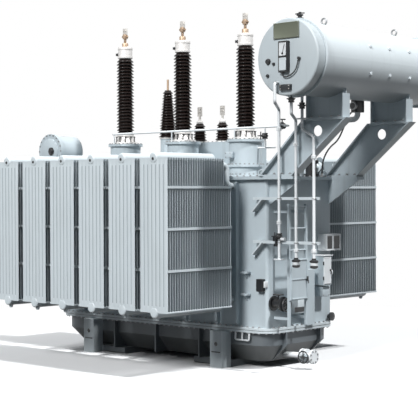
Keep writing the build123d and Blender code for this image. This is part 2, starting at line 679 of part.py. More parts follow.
# Leaning arms: a web in the middle of a rim, and an oval hole near the head
ARM_OUTLINE = [
    (ARM_FOOT_START, COVER_TOP),
    (ARM_FOOT_START + ARM_FOOT_LENGTH, COVER_TOP),
    (ARM_HEAD_START + ARM_HEAD_LENGTH, SADDLE_BASE_Z),
    (ARM_HEAD_START, SADDLE_BASE_Z),
]
ARM_RECESS = (ARM_WIDTH - ARM_WEB) / 2
with BuildPart() as conservator_arms:
    for side in (-1, 1):
        near_edge = side * SADDLE_Y - ARM_WIDTH / 2
        with BuildSketch(upright(0, near_edge)):
            with BuildLine():
                Polyline(*ARM_OUTLINE, close=True)
            make_face()
        extrude(amount=-ARM_WIDTH)
        for start in (near_edge, near_edge + ARM_WIDTH - ARM_RECESS):
            with BuildSketch(upright(0, start)):
                with BuildLine():
                    Polyline(*ARM_OUTLINE, close=True)
                make_face()
                offset(amount=-ARM_FLANGE, kind=Kind.INTERSECTION, mode=Mode.REPLACE)
            extrude(amount=-ARM_RECESS, mode=Mode.SUBTRACT)
        with BuildSketch(upright(SADDLE_X - ARM_HOLE_SETBACK, near_edge, SADDLE_BASE_Z - ARM_HOLE_DROP)):
            Circle(ARM_HOLE_RADIUS)
        extrude(amount=-ARM_WIDTH, mode=Mode.SUBTRACT)
save("conservator_arms", conservator_arms.part)

with BuildPart() as level_gauge:
    with Locations((CONSERVATOR_X - GAUGE_OFFSET, CAP_FRONT_Y - GAUGE_DEPTH / 2, CONSERVATOR_Z)):
        Box(GAUGE_WIDTH, GAUGE_DEPTH, GAUGE_HEIGHT)
save("level_gauge", level_gauge.part)

# Outer pipe: out of the end cap, back to the tank's side and down
OUTER_TOP_Y = CAP_FRONT_Y - OUTER_PIPE_REACH
OUTER_TURN_Z = CONSERVATOR_UNDERSIDE - PIPE_DROPS[0]
with BuildPart() as outer_pipe:
    with BuildLine() as route:
        FilletPolyline(
            (PIPE_TOP_X[0], CAP_FRONT_Y, CONSERVATOR_UNDERSIDE + OUTER_PIPE_RISE),
            (PIPE_TOP_X[0], OUTER_TOP_Y, CONSERVATOR_UNDERSIDE + OUTER_PIPE_RISE),
            (PIPE_TOP_X[0], OUTER_TOP_Y, OUTER_TURN_Z),
            (PIPE_X[0], PIPE_Y, OUTER_TURN_Z - PIPE_FALLS[0]),
            (PIPE_X[0], PIPE_Y, PIPE_BOTTOM_Z),
            radius=PIPE_BEND_RADIUS,
        )
    with BuildSketch(upright(PIPE_TOP_X[0], CAP_FRONT_Y, CONSERVATOR_UNDERSIDE + OUTER_PIPE_RISE)):
        Circle(PIPE_RADIUS)
    sweep(path=route.line)
save("outer_pipe", outer_pipe.part)

# Middle and inner pipes: out of the conservator's underside and down
for name, top_x, top_y, drop, fall, x in (
    ("middle_pipe", PIPE_TOP_X[1], MIDDLE_PIPE_TOP_Y, PIPE_DROPS[1], PIPE_FALLS[1], PIPE_X[1]),
    ("inner_pipe", PIPE_TOP_X[2], PIPE_Y, PIPE_DROPS[2], PIPE_FALLS[2], PIPE_X[2]),
):
    with BuildPart() as pipe:
        with BuildLine() as route:
            FilletPolyline(
                (top_x, top_y, CONSERVATOR_Z),
                (top_x, top_y, CONSERVATOR_UNDERSIDE - drop),
                (x, PIPE_Y, CONSERVATOR_UNDERSIDE - drop - fall),
                (x, PIPE_Y, PIPE_BOTTOM_Z),
                radius=PIPE_BEND_RADIUS,
            )
        with BuildSketch(Plane.XY.offset(CONSERVATOR_Z)):
            with Locations((top_x, top_y)):
                Circle(PIPE_RADIUS)
        sweep(path=route.line)
        add(conservator.part, mode=Mode.SUBTRACT)
    save(name, pipe.part)

# Breathers under the middle and the inner pipe
with BuildPart() as breathers:
    with BuildSketch(Plane.XY.offset(PIPE_BOTTOM_Z)):
        with Locations((PIPE_X[1], PIPE_Y), (PIPE_X[2], PIPE_Y)):
            Circle(BREATHER_RADIUS)
    extrude(amount=-BREATHER_HEIGHT)
save("breathers", breathers.part)

# Pipe between the conservator and the cover, with a valve round its foot
RELAY_PIPE_TURN = CONSERVATOR_UNDERSIDE - RELAY_PIPE_DROP + RELAY_PIPE_BEND_RADIUS
with BuildPart() as relay_pipe:
    with BuildLine() as route:
        FilletPolyline(
            (RELAY_X, RELAY_Y, CONSERVATOR_Z),
            (RELAY_X, RELAY_Y, RELAY_PIPE_TURN),
            (RELAY_FOOT_X, RELAY_Y, RELAY_PIPE_TURN - RELAY_PIPE_FALL),
            (RELAY_FOOT_X, RELAY_Y, COVER_TOP),
            radius=RELAY_PIPE_BEND_RADIUS,
        )
    with BuildSketch(Plane.XY.offset(CONSERVATOR_Z)):
        with Locations((RELAY_X, RELAY_Y)):
            Circle(RELAY_PIPE_RADIUS)
    sweep(path=route.line)
    add(conservator.part, mode=Mode.SUBTRACT)
save("relay_pipe", relay_pipe.part)

with BuildPart() as gas_relay:
    with BuildSketch(Plane.XY.offset(RELAY_Z - RELAY_LENGTH / 2)):
        with Locations((RELAY_X, RELAY_Y)):
            Circle(RELAY_RADIUS)
            Circle(RELAY_PIPE_RADIUS + SEAT, mode=Mode.SUBTRACT)
    extrude(amount=RELAY_LENGTH)
save("gas_relay", gas_relay.part)

with BuildPart() as foot_valve:
    for start, height, radius in (
        (0, FOOT_VALVE_FLANGE, FOOT_VALVE_RADIUS),
        (0, FOOT_VALVE_HEIGHT, FOOT_VALVE_NECK_RADIUS),
        (FOOT_VALVE_HEIGHT - FOOT_VALVE_FLANGE, FOOT_VALVE_FLANGE, FOOT_VALVE_RADIUS),
    ):
        with BuildSketch(Plane.XY.offset(COVER_TOP + start)):
            with Locations((RELAY_FOOT_X, RELAY_Y)):
                Circle(radius)
        extrude(amount=height)
    with BuildSketch(Plane.XY.offset(COVER_TOP)):
        with Locations((RELAY_FOOT_X, RELAY_Y)):
            Circle(RELAY_PIPE_RADIUS + SEAT)
    extrude(amount=FOOT_VALVE_HEIGHT, mode=Mode.SUBTRACT)
save("foot_valve", foot_valve.part)

# Valves clamped round the three pipes
with BuildPart() as pipe_valves:
    for x, y, height in (
        (PIPE_X[0], PIPE_Y, WALL_VALVE_Z),
        (PIPE_TOP_X[1], MIDDLE_PIPE_TOP_Y, CONSERVATOR_UNDERSIDE - MIDDLE_VALVE_DROP),
        (PIPE_TOP_X[2], PIPE_Y, CONSERVATOR_UNDERSIDE - INNER_VALVE_DROP),
    ):
        with BuildSketch(Plane.XY.offset(height - PIPE_VALVE_LENGTH / 2)):
            with Locations((x, y)):
                Circle(PIPE_VALVE_RADIUS)
                Circle(PIPE_RADIUS + SEAT, mode=Mode.SUBTRACT)
        extrude(amount=PIPE_VALVE_LENGTH)
save("pipe_valves", pipe_valves.part)

# Thin gas pipe along the turrets
VENT_PIPE_START = -HV_PITCH - 2 * VENT_PIPE_RADIUS
with BuildPart() as vent_pipe:
    with BuildSketch(Plane.YZ.offset(VENT_PIPE_START)):
        with Locations((VENT_PIPE_Y, VENT_PIPE_Z)):
            Circle(VENT_PIPE_RADIUS)
    extrude(amount=TANK_END + VENT_PIPE_OVERRUN - VENT_PIPE_START)
    with BuildSketch(Plane.XY.offset(TURRET_TOP)):
        with Locations((0, VENT_PIPE_Y)):
            with GridLocations(HV_PITCH, 0, len(HV_X), 1):
                Circle(VENT_RISER_RADIUS)
    extrude(amount=VENT_PIPE_Z - TURRET_TOP)
save("vent_pipe", vent_pipe.part)

# Bars from the tank's side that the pipes are clamped to, each with a brace below
BRACKET_START_X = TANK_END - BRACKET_INSET
BRACKET_END_X = PIPE_X[2] + BRACKET_END
with BuildPart() as pipe_brackets:
    for height in BRACKET_HEIGHTS:
        with Locations(((BRACKET_START_X + BRACKET_END_X) / 2, BRACKET_Y, height)):
            Box(BRACKET_END_X - BRACKET_START_X, BRACKET_SIZE, BRACKET_SIZE)
        with Locations((BRACKET_START_X + BRACKET_FOOT_LENGTH / 2, -TANK_SIDE - BRACKET_STANDOFF / 2, height)):
            Box(BRACKET_FOOT_LENGTH, BRACKET_STANDOFF, BRACKET_SIZE)
        with BuildSketch(upright(0, -TANK_SIDE, height)):
            with BuildLine():
                Polyline(
                    (TANK_END, 0),
                    (TANK_END - BRACE_RUN, -BRACE_RUN),
                    (TANK_END - BRACE_RUN - BRACE_WIDTH, -BRACE_RUN),
                    (TANK_END - BRACE_WIDTH, 0),
                    close=True,
                )
            make_face()
        extrude(amount=BRACKET_DEPTH)
save("pipe_brackets", pipe_brackets.part)

# Ladder and the plate that closes its lower rungs
with BuildPart() as ladder:
    with BuildSketch(Plane.XY.offset(LADDER_BOTTOM)):
        with Locations((LADDER_X, LADDER_Y)):
            with GridLocations(0, LADDER_WIDTH, 1, 2):
                Rectangle(LADDER_STILE, LADDER_STILE)
    extrude(amount=LADDER_TOP - LADDER_BOTTOM)
    RUNG_COUNT = int((LADDER_TOP - LADDER_BOTTOM) / LADDER_RUNG_PITCH)
    with BuildSketch(Plane.XZ.offset(-LADDER_Y - LADDER_WIDTH / 2)):
        for number in range(RUNG_COUNT):
            with Locations((LADDER_X, LADDER_TOP - LADDER_STILE - number * LADDER_RUNG_PITCH)):
                Circle(LADDER_RUNG_RADIUS)
    extrude(amount=LADDER_WIDTH)
    # Standoffs from the wall to both stiles
    with BuildSketch(Plane.YZ.offset(TANK_END)):
        with Locations((LADDER_Y, (LADDER_TOP + LADDER_BOTTOM) / 2)):
            with GridLocations(LADDER_WIDTH, LADDER_TOP - LADDER_BOTTOM - 2 * LADDER_STANDOFF_INSET, 2, 2):
                Rectangle(LADDER_STILE, LADDER_STILE)
    extrude(amount=LADDER_X - TANK_END)
save("ladder", ladder.part)

with BuildPart() as ladder_guard:
    with Locations(
        (LADDER_X + LADDER_STILE / 2 + GUARD_THICKNESS / 2, LADDER_Y, GUARD_BOTTOM + GUARD_HEIGHT / 2)
    ):
        Box(GUARD_THICKNESS, LADDER_WIDTH + LADDER_STILE, GUARD_HEIGHT)
save("ladder_guard", ladder_guard.part)

with BuildPart() as cable_duct:
    with Locations((TANK_END + DUCT_DEPTH / 2, DUCT_Y, (WALL_BOTTOM + DUCT_TOP) / 2)):
        Box(DUCT_DEPTH, DUCT_WIDTH, DUCT_TOP - WALL_BOTTOM)
save("cable_duct", cable_duct.part)

with BuildPart() as control_cabinet:
    with Locations((TANK_END + CABINET_DEPTH / 2, CABINET_Y, CABINET_BOTTOM + CABINET_HEIGHT / 2)):
        Box(CABINET_DEPTH, CABINET_WIDTH, CABINET_HEIGHT)
save("control_cabinet", control_cabinet.part)

with BuildPart() as gauge_frame:
    with Locations((TANK_END + GAUGE_FRAME_DEPTH / 2, GAUGE_FRAME_Y, GAUGE_FRAME_BOTTOM + GAUGE_FRAME_HEIGHT / 2)):
        Box(GAUGE_FRAME_DEPTH, GAUGE_FRAME_WIDTH, GAUGE_FRAME_HEIGHT)
save("gauge_frame", gauge_frame.part)

# Valves on the end wall
with BuildPart() as filter_valve:
    for start, length, radius in (
        (0, VALVE_LENGTH, VALVE_BODY_RADIUS),
        (0, VALVE_FLANGE_THICKNESS, VALVE_FLANGE_RADIUS),
        (VALVE_LENGTH - VALVE_FLANGE_THICKNESS, VALVE_FLANGE_THICKNESS, VALVE_FLANGE_RADIUS),
    ):
        with BuildSketch(Plane.YZ.offset(TANK_END + start)):
            with Locations((FILTER_VALVE_Y, FILTER_VALVE_Z)):
                Circle(radius)
        extrude(amount=length)
    with BuildSketch(Plane.XY.offset(FILTER_VALVE_Z)):
        with Locations((TANK_END + VALVE_LENGTH / 2, FILTER_VALVE_Y)):
            Circle(VALVE_STEM_RADIUS)
    extrude(amount=VALVE_STEM_LENGTH)
    with BuildSketch(Plane.XY.offset(FILTER_VALVE_Z + VALVE_STEM_LENGTH)):
        with Locations((TANK_END + VALVE_LENGTH / 2, FILTER_VALVE_Y)):
            Circle(WHEEL_RADIUS)
    extrude(amount=WHEEL_THICKNESS)
save("filter_valve", filter_valve.part)

# Drain pipe from the tapered foot of the tank, with its valve and flange
with BuildPart() as drain_valve:
    with BuildSketch(Plane.YZ.offset(TANK_END - PAN_TAPER_INSET)):
        with Locations((DRAIN_Y, DRAIN_Z)):
            Circle(DRAIN_PIPE_RADIUS)
    extrude(amount=PAN_TAPER_INSET + DRAIN_LENGTH)
    for start in (DRAIN_LENGTH - 2 * VALVE_BODY_RADIUS, DRAIN_LENGTH - VALVE_LENGTH):
        with BuildSketch(Plane.YZ.offset(TANK_END + start)):
            with Locations((DRAIN_Y, DRAIN_Z)):
                Circle(VALVE_FLANGE_RADIUS)
        extrude(amount=VALVE_FLANGE_THICKNESS)
    with BuildSketch(Plane.YZ.offset(TANK_END + DRAIN_LENGTH)):
        with Locations((DRAIN_Y, DRAIN_Z)):
            Circle(VALVE_FLANGE_RADIUS)
    extrude(amount=VALVE_FLANGE_THICKNESS)
    add(lower_tank.part, mode=Mode.SUBTRACT)
save("drain_valve", drain_valve.part)

# Bolted drum at the other end, on a neck that stands on the shelf
with BuildPart() as end_turret:
    with BuildSketch(upright(DRUM_X, DRUM_FRONT_Y, DRUM_Z)):
        Circle(DRUM_RADIUS)
    extrude(amount=-DRUM_LENGTH)
    with BuildSketch(upright(DRUM_X, DRUM_FRONT_Y, DRUM_Z)):
        Circle(DRUM_RIM_RADIUS)
    extrude(amount=-2 * DRUM_RIM_THICKNESS)
    with BuildSketch(Plane.XY.offset(COVER_TOP)):
        with Locations((DRUM_X, DRUM_MIDDLE_Y)):
            Circle(DRUM_NECK_RADIUS)
    extrude(amount=DRUM_Z - COVER_TOP)
save("end_turret", end_turret.part)
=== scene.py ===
"""Looks of an oil-filled power transformer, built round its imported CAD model, in metres."""

import json
import math

import bmesh
import bpy
from mathutils import Euler, Matrix, Vector


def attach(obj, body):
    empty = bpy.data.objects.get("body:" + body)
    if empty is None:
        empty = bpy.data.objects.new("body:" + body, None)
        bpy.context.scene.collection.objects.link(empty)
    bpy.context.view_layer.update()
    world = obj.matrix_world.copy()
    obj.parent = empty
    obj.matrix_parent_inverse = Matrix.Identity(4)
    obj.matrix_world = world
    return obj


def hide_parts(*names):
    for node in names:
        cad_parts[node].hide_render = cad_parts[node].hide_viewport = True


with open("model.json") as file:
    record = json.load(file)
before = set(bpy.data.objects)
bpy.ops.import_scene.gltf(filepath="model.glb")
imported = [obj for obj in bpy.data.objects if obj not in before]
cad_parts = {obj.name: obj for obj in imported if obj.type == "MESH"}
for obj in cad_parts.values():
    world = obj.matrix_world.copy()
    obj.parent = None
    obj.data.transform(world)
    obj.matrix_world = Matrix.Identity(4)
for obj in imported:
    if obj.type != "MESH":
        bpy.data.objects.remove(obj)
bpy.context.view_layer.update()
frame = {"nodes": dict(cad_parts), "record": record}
nodes = frame["nodes"]

# Camera that matches the photograph, whose frame is taken as 418 x 418
IMAGE_SIZE = 418
FOCAL_PIXELS = 1254.4
SENSOR_WIDTH = 36.0
CAMERA_PLACE = Vector((13.5746, -14.4101, 2.5427))
CAMERA_YAW = 42.4896
CAMERA_PITCH = -0.7551
CAMERA_ROLL = -0.1951

# Colours of the object, as linear values
TANK_GREY = (0.47, 0.54, 0.58)
RADIATOR_GREY = (0.56, 0.62, 0.65)
CONSERVATOR_GREY = (0.60, 0.66, 0.69)
END_GREY = (0.50, 0.56, 0.59)
CABINET_WHITE = (0.70, 0.73, 0.75)
PIPE_GREY = (0.78, 0.81, 0.83)
# Painted shade: the pan and base beams get a much darker paint than the tank, standing in for the shade they
# sit in
PAN_SHADE_GREY = (0.11, 0.128, 0.142)
# Painted shade: darker paint for the faces between radiator panels and in the outer flute grooves
GAP_SHADE_GREY = (0.23, 0.27, 0.295)
PORCELAIN_BROWN = (0.010, 0.006, 0.005)
FITTING_BLACK = (0.012, 0.013, 0.015)
COPPER = (0.50, 0.36, 0.25)
CAST_METAL = (0.80, 0.78, 0.76)
TINNED_METAL = (0.62, 0.60, 0.57)
BOLT_STEEL = (0.30, 0.31, 0.32)
PLATE_OLIVE = (0.125, 0.140, 0.100)
# Grime colour for streaks and mottling, also used for the painted shade on undersides
GRIME_AND_SHADE = (0.12, 0.115, 0.10)
DUST = (0.48, 0.47, 0.44)

# Places of the CAD model: tank
TANK_END = 2.18
TANK_SIDE = 0.745
RIM_LENGTH = 2.25
RIM_WIDTH = 0.82
BOLT_TO_RIM = 0.03
FLANGE_TOP = 0.606
FLANGE_UNDERSIDE = 0.534
FLANGE_JOINT = 0.57
COVER_TOP = 2.77
BRACKET_X = (-1.37, 1.37)
BRACKET_FACE = 0.951
DRUM = (-2.53, -0.750, 3.24)

# Places of the CAD model: radiators
PANEL_WIDTH = 0.52
PANEL_PITCH = 0.049
PANEL_COUNT = 27
SHORT_PANELS = 3
PANEL_BOTTOM = 0.916
PANEL_TOP = 3.015
SHORT_PANEL_TOP = 2.65
STACK_OUTER = 2.422
STACK_INNER = 1.126
FIRST_PANEL = -STACK_OUTER + 0.011
HEADER_RADIUS = 0.078
HEADER_OVERHANG = 0.006
HEADER_OVERLAP = 0.012
RADIATOR_X = [(number - 2.5) * 0.629 for number in range(6)]
NECK_FLANGE_Y = 1.229
NECK_FLANGE_Z = 2.937

# Places of the CAD model: bushings
HV_X = (-1.296, 0.0, 1.296)
HV_Y = -0.19
HV_FLANGES = (2.806, 2.956, 3.330)
HV_COLLAR = 3.334
HV_PORCELAIN = (3.49, 4.73)
HV_HEAD = 4.728
HV_STUD = 4.92
HV_PALM = (5.112, 5.224)
LV_X = (-0.23, 0.26, 0.75)
LV_Y = 0.45
LV_BASE = 3.338
LV_PORCELAIN = (3.365, 3.650)
LV_CAP = 3.648
LV_BOX_X = (-0.462, 0.981)
LV_BOX_Y = (0.267, 0.633)
LV_BOX_TOP = 3.34
NEUTRAL = (-0.95, 0.45)
NEUTRAL_BASE = 3.428
NEUTRAL_PORCELAIN = (3.445, 4.230)

# Places of the CAD model: conservator, pipes and end wall
CONSERVATOR_X = 3.26
CONSERVATOR_Z = 4.31
CAP_Y = -1.63
ARM_Y = 0.76
SADDLE_FOOT = 3.558
PIPE_Y = -0.8743
PIPE_X = (2.50, 2.80, 3.11)
RELAY_WINDOW = (2.965, 0.218, 3.775)
FILTER_VALVE = (2.345, -0.575, 0.945)
DRAIN_Y = -0.22
DRAIN_Z = 0.19

X_AXIS, Y_AXIS, Z_AXIS = (1, 0, 0), (0, 1, 0), (0, 0, 1)
TO_NEAR = (0, -1, 0)
SIDES = (-1, 1)


# Working in edit mode


def deselect():
    """Leave nothing selected, so that an operator acts on one piece alone."""
    bpy.ops.object.select_all(action="DESELECT")


def take(piece):
    """Select one piece alone and make it active."""
    deselect()
    piece.select_set(True)
    bpy.context.view_layer.objects.active = piece


def settle(piece):
    """Put a piece's place, turn and scale into its mesh."""
    take(piece)
    bpy.ops.object.transform_apply(location=True, rotation=True, scale=True)
    return piece


def open_piece(piece):
    """Open one piece in edit mode."""
    take(piece)
    bpy.ops.object.mode_set(mode="EDIT")


def close_piece():
    """Go back to object mode."""
    bpy.ops.object.mode_set(mode="OBJECT")


def pick_all():
    """In edit mode, select the whole piece."""
    bpy.ops.mesh.select_all(action="SELECT")


def pick(piece, kind, test):
    """In edit mode, select the points, edges or faces of a piece that pass a test."""
    bpy.ops.mesh.select_mode(type=kind)
    mesh = bmesh.from_edit_mesh(piece.data)
    mesh.normal_update()
    for part in {"VERT": mesh.verts, "EDGE": mesh.edges, "FACE": mesh.faces}[kind]:
        part.select_set(test(part))
    mesh.select_flush_mode()
    bmesh.update_edit_mesh(piece.data)


def pick_side(piece, toward):
    """In edit mode, select the faces of a piece that look one way."""
    pick(piece, "FACE", lambda face: face.normal.dot(Vector(toward)) > 0.9)


def press(piece, toward, rim, depth=0.0, sink=0.0):
    """Inset the face that looks one way, by a rim and a depth, and push what is inside it back."""
    open_piece(piece)
    pick_side(piece, toward)
    bpy.ops.mesh.inset(thickness=rim, depth=depth)
    bpy.ops.transform.translate(value=-sink * Vector(toward))
    close_piece()
    return piece


def cut_along(point, normal):
    """In edit mode, cut the whole piece along a plane."""
    pick_all()
    bpy.ops.mesh.bisect(plane_co=point, plane_no=normal)


def block(low, high, edge=0.005):
    """A box between two corners, with its edges rounded."""
    middle = [(bottom + top) / 2 for bottom, top in zip(low, high)]
    size = [top - bottom for bottom, top in zip(low, high)]
    deselect()
    bpy.ops.mesh.primitive_cube_add(size=1, location=middle, scale=size)
    piece = settle(bpy.context.object)
    if edge:
        rounding = piece.modifiers.new("rounding", "BEVEL")
        rounding.width = edge
        rounding.segments = 2
        rounding.limit_method = "ANGLE"
        rounding.angle_limit = math.radians(40)
        bpy.ops.object.modifier_apply(modifier=rounding.name)
    return piece


def hoop(radius, wire, place=(0, 0, 0), upright=False, steps=20, sides=8):
    """A ring of round wire, lying flat or upright across Y."""
    turn = (math.radians(90), 0, 0) if upright else (0, 0, 0)
    deselect()
    bpy.ops.mesh.primitive_torus_add(
        major_radius=radius, minor_radius=wire, major_segments=steps, minor_segments=sides,
        location=place, rotation=turn,
    )
    return settle(bpy.context.object)


def turned(outline, place=(0, 0, 0), axis=Z_AXIS, sides=32):
    """A turned piece: an outline of radii and heights, spun round an axis that starts at a place."""
    along = Vector(axis).normalized()
    across = along.orthogonal().normalized()
    deselect()
    bpy.ops.mesh.primitive_plane_add(size=0.01, location=place)
    piece = settle(bpy.context.object)
    bpy.ops.object.mode_set(mode="EDIT")
    bpy.ops.mesh.select_mode(type="VERT")
    pick_all()
    bpy.ops.mesh.merge(type="CENTER")
    last = Vector((0, 0, 0))
    for number, (radius, height) in enumerate(outline):
        point = across * radius + along * height
        if number == 0:
            bpy.ops.transform.translate(value=point)
        else:
            bpy.ops.mesh.extrude_vertices_move(TRANSFORM_OT_translate={"value": point - last})
        last = point
    pick_all()
    bpy.ops.mesh.spin(steps=sides, angle=math.tau, center=place, axis=along)
    pick_all()
    bpy.ops.mesh.remove_doubles(threshold=0.00002)
    bpy.ops.mesh.normals_make_consistent(inside=False)
    close_piece()
    return piece


def disc(radius, thickness, place, axis, edge=0.003, sides=32):
    """A turned plate with its two rims eased."""
    outline = [
        (0, 0), (radius - edge, 0), (radius, edge), (radius, thickness - edge),
        (radius - edge, thickness), (0, thickness),
    ]
    return turned(outline, place, axis, sides)


def bent_tube(points, radius, order=3, sides=3):
    """A tube that follows a smooth line past its points, closed at both ends."""
    data = bpy.data.curves.new("tube", "CURVE")
    data.dimensions = "3D"
    data.bevel_depth = radius
    data.bevel_resolution = sides
    data.use_fill_caps = True
    line = data.splines.new("NURBS")
    line.points.add(len(points) - 1)
    for point, place in zip(line.points, points):
        point.co = (*place, 1)
    line.order_u = order
    line.use_endpoint_u = True
    line.resolution_u = 6
    piece = bpy.data.objects.new("tube", data)
    bpy.context.scene.collection.objects.link(piece)
    take(piece)
    bpy.ops.object.convert(target="MESH")
    return bpy.context.object


def bent_pipe(points, radius, bend=0.07):
    """A straight-run pipe through its corners, each rounded within a bend's length of it."""
    places = [Vector(point) for point in points]
    line = [places[0]]
    for before, corner, after in zip(places, places[1:], places[2:]):
        back = (before - corner).normalized() * bend
        on = (after - corner).normalized() * bend
        line += [corner + back, corner, corner + on]
    line.append(places[-1])
    return bent_tube(line, radius, order=3, sides=4)


def join(pieces):
    """Join pieces into the first of them."""
    deselect()
    for piece in pieces:
        piece.select_set(True)
    bpy.context.view_layer.objects.active = pieces[0]
    if len(pieces) > 1:
        bpy.ops.object.join()
    return bpy.context.view_layer.objects.active


def moved_copy(model, move):
    """A copy of a piece with its own mesh, moved by a matrix."""
    copy = model.copy()
    copy.data = model.data.copy()
    copy.data.transform(move)
    bpy.context.scene.collection.objects.link(copy)
    return copy


def repeat(model, moves):
    """Copies of a piece joined into one; the model itself is used up."""
    made = [moved_copy(model, move) for move in moves]
    bpy.data.objects.remove(model)
    return join(made)


def shifts(places):
    """One move for each place."""
    return [Matrix.Translation(place) for place in places]


def upright_to(place, axis):
    """The move that stands a piece made along +Z at a place, along an axis."""
    return Matrix.Translation(place) @ Vector(axis).to_track_quat("Z", "Y").to_matrix().to_4x4()


def finish(piece, name, slot, look=None, angle=35, stands_for=()):
    """Name a piece, give it its finish and its body, and smooth it up to an angle."""
    piece.name = name
    piece.data.name = name
    piece.data.materials.clear()
    piece.data.materials.append(finishes[look or slot])
    take(piece)
    bpy.ops.object.shade_smooth_by_angle(angle=math.radians(angle))
    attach(piece, "root")
    if stands_for:
        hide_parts(*stands_for)
    return piece


def finish_copies(model, name, slot, moves, stands_for=(), look=None):
    """One finished piece of the model for each move, with a letter after its name; the model is used up."""
    for letter, move in zip("abc", moves):
        finish(moved_copy(model, move), f"{name}_{letter}", slot, look, stands_for=stands_for)
    bpy.data.objects.remove(model)


# Bolts and small fittings that repeat


def cylinder(sides, radius, depth, height):
    """A plain upright cylinder whose middle is at a height."""
    deselect()
    bpy.ops.mesh.primitive_cylinder_add(
        vertices=sides, radius=radius, depth=depth, location=(0, 0, height)
    )
    return settle(bpy.context.object)


def bolt_head(size):
    """A hexagon head on a washer, with the end of its thread, standing on the origin."""
    head = cylinder(6, size, 0.7 * size, 0.55 * size)
    open_piece(head)
    pick_side(head, Z_AXIS)
    bpy.ops.mesh.inset(thickness=0.16 * size)
    bpy.ops.transform.translate(value=(0, 0, 0.12 * size))
    bpy.ops.mesh.inset(thickness=0.3 * size)
    bpy.ops.mesh.extrude_region_move(TRANSFORM_OT_translate={"value": (0, 0, 0.3 * size)})
    close_piece()
    washer = cylinder(12, 1.3 * size, 0.2 * size, 0.1 * size)
    return join([head, washer])


def bolts(name, size, places, axis=Z_AXIS, look="bolt_steel"):
    """One bolt head copied to every place, facing along an axis."""
    heads = repeat(bolt_head(size), [upright_to(place, axis) for place in places])
    return finish(heads, name, "dark_fitting", look, angle=30)


def ring(radius, count, middle, axis=Z_AXIS):
    """Places evenly spread round a circle about an axis."""
    along = Vector(axis).normalized()
    across = along.orthogonal().normalized()
    side = along.cross(across)
    angles = [math.tau * (number + 0.5) / count for number in range(count)]
    return [Vector(middle) + radius * (math.cos(angle) * across + math.sin(angle) * side) for angle in angles]


def rings(radius, count, middles, axis=Z_AXIS):
    """The places of one ring after another."""
    return [place for middle in middles for place in ring(radius, count, middle, axis)]


def round_rim(corner, pitch, height):
    """Places of bolts at an even pitch round the tank's rim, which has round corners."""
    half_length, half_width = RIM_LENGTH - BOLT_TO_RIM, RIM_WIDTH - BOLT_TO_RIM
    straight_x, straight_y = half_length - corner, half_width - corner
    runs = (2 * straight_y, math.pi / 2 * corner, 2 * straight_x, math.pi / 2 * corner) * 2
    count = round(sum(runs) / pitch)
    places = []
    for number in range(count):
        left = sum(runs) * number / count
        leg = 0
        while left > runs[leg]:
            left -= runs[leg]
            leg += 1
        sign = 1 if leg < 4 else -1
        angle = left / corner
        if leg % 4 == 0:
            point = (half_length, left - straight_y)
        elif leg % 4 == 1:
            point = (straight_x + corner * math.cos(angle), straight_y + corner * math.sin(angle))
        elif leg % 4 == 2:
            point = (straight_x - left, half_width)
        else:
            point = (-straight_x - corner * math.sin(angle), straight_y + corner * math.cos(angle))
        places.append(Vector((sign * point[0], sign * point[1], height)))
    return places


def spoked_wheel(radius, rim, spokes):
    """A handwheel about the origin, with its axis along +Z."""
    hub = [(0, -0.014), (0.02, -0.014), (0.024, -0.008), (0.024, 0.012), (0.014, 0.018), (0, 0.018)]
    parts = [hoop(radius - rim, rim, steps=28), turned(hub, sides=12)]
    for number in range(spokes):
        angle = math.tau * number / spokes
        end = (math.cos(angle) * (radius - rim), math.sin(angle) * (radius - rim), 0)
        spoke = [(0, 0, 0), (end[0] / 2, end[1] / 2, 0.006), end]
        parts.append(bent_tube(spoke, rim * 0.8, sides=1))
    return join(parts)


def pipe_valve(place, axis, handle):
    """A small gate valve on a pipe: two collars, a round body, a bonnet and a cross handle."""
    half = [(0.044, 0.012), (0.03, 0.022), (0.042, 0.026), (0.042, 0.038), (0.04, 0.042), (0.024, 0.042)]
    body_outline = [(radius, -height) for radius, height in reversed(half)] + [(0.048, 0)] + half
    body = turned(body_outline, place, axis, sides=18)
    stem_outline = [
        (0, 0.03), (0.026, 0.03), (0.026, 0.052), (0.018, 0.056), (0.009, 0.06), (0.009, 0.088),
        (0.016, 0.09), (0.016, 0.1), (0, 0.102),
    ]
    stem = turned(stem_outline, place, handle, sides=14)
    upward = Vector(handle)
    grip = Vector(place) + upward * 0.094
    across = Vector(axis).cross(upward).normalized()
    bars = [
        bent_tube([grip - way * 0.058, grip + upward * 0.006, grip + way * 0.058], 0.008)
        for way in (Vector(axis), across)
    ]
    return join([body, stem, *bars])


# Stage


def new_node(tree, kind, operation=None, **inputs):
    """A shader node with its operation and some inputs set; _ in an input's name stands for a space."""
    node = tree.nodes.new(kind)
    if operation:
        node.operation = operation
    for name, value in inputs.items():
        node.inputs[name.replace("_", " ")].default_value = value
    return node


def make_camera():
    """The camera, placed as the one that took the photograph."""
    camera = bpy.data.objects.new("camera", bpy.data.cameras.new("camera"))
    bpy.context.scene.collection.objects.link(camera)
    camera.data.sensor_width = SENSOR_WIDTH
    camera.data.lens = FOCAL_PIXELS / IMAGE_SIZE * SENSOR_WIDTH
    camera.data.clip_end = 400
    aim = Euler((math.radians(90 + CAMERA_PITCH), 0, math.radians(CAMERA_YAW))).to_matrix().to_4x4()
    roll = Matrix.Rotation(math.radians(CAMERA_ROLL), 4, "Z")
    camera.matrix_world = Matrix.Translation(CAMERA_PLACE) @ aim @ roll
    bpy.context.scene.camera = camera


def make_light(name, energy, azimuth, elevation, angle):
    """A sun given by the azimuth and elevation that it comes from, in degrees."""
    data = bpy.data.lights.new(name, "SUN")
    data.energy = energy
    data.angle = math.radians(angle)
    lamp = bpy.data.objects.new(name, data)
    azimuth, elevation = math.radians(azimuth), math.radians(elevation)
    level = math.cos(elevation)
    toward = Vector((math.sin(azimuth) * level, -math.cos(azimuth) * level, math.sin(elevation)))
    lamp.rotation_euler = toward.to_track_quat("Z", "Y").to_euler()
    bpy.context.scene.collection.objects.link(lamp)


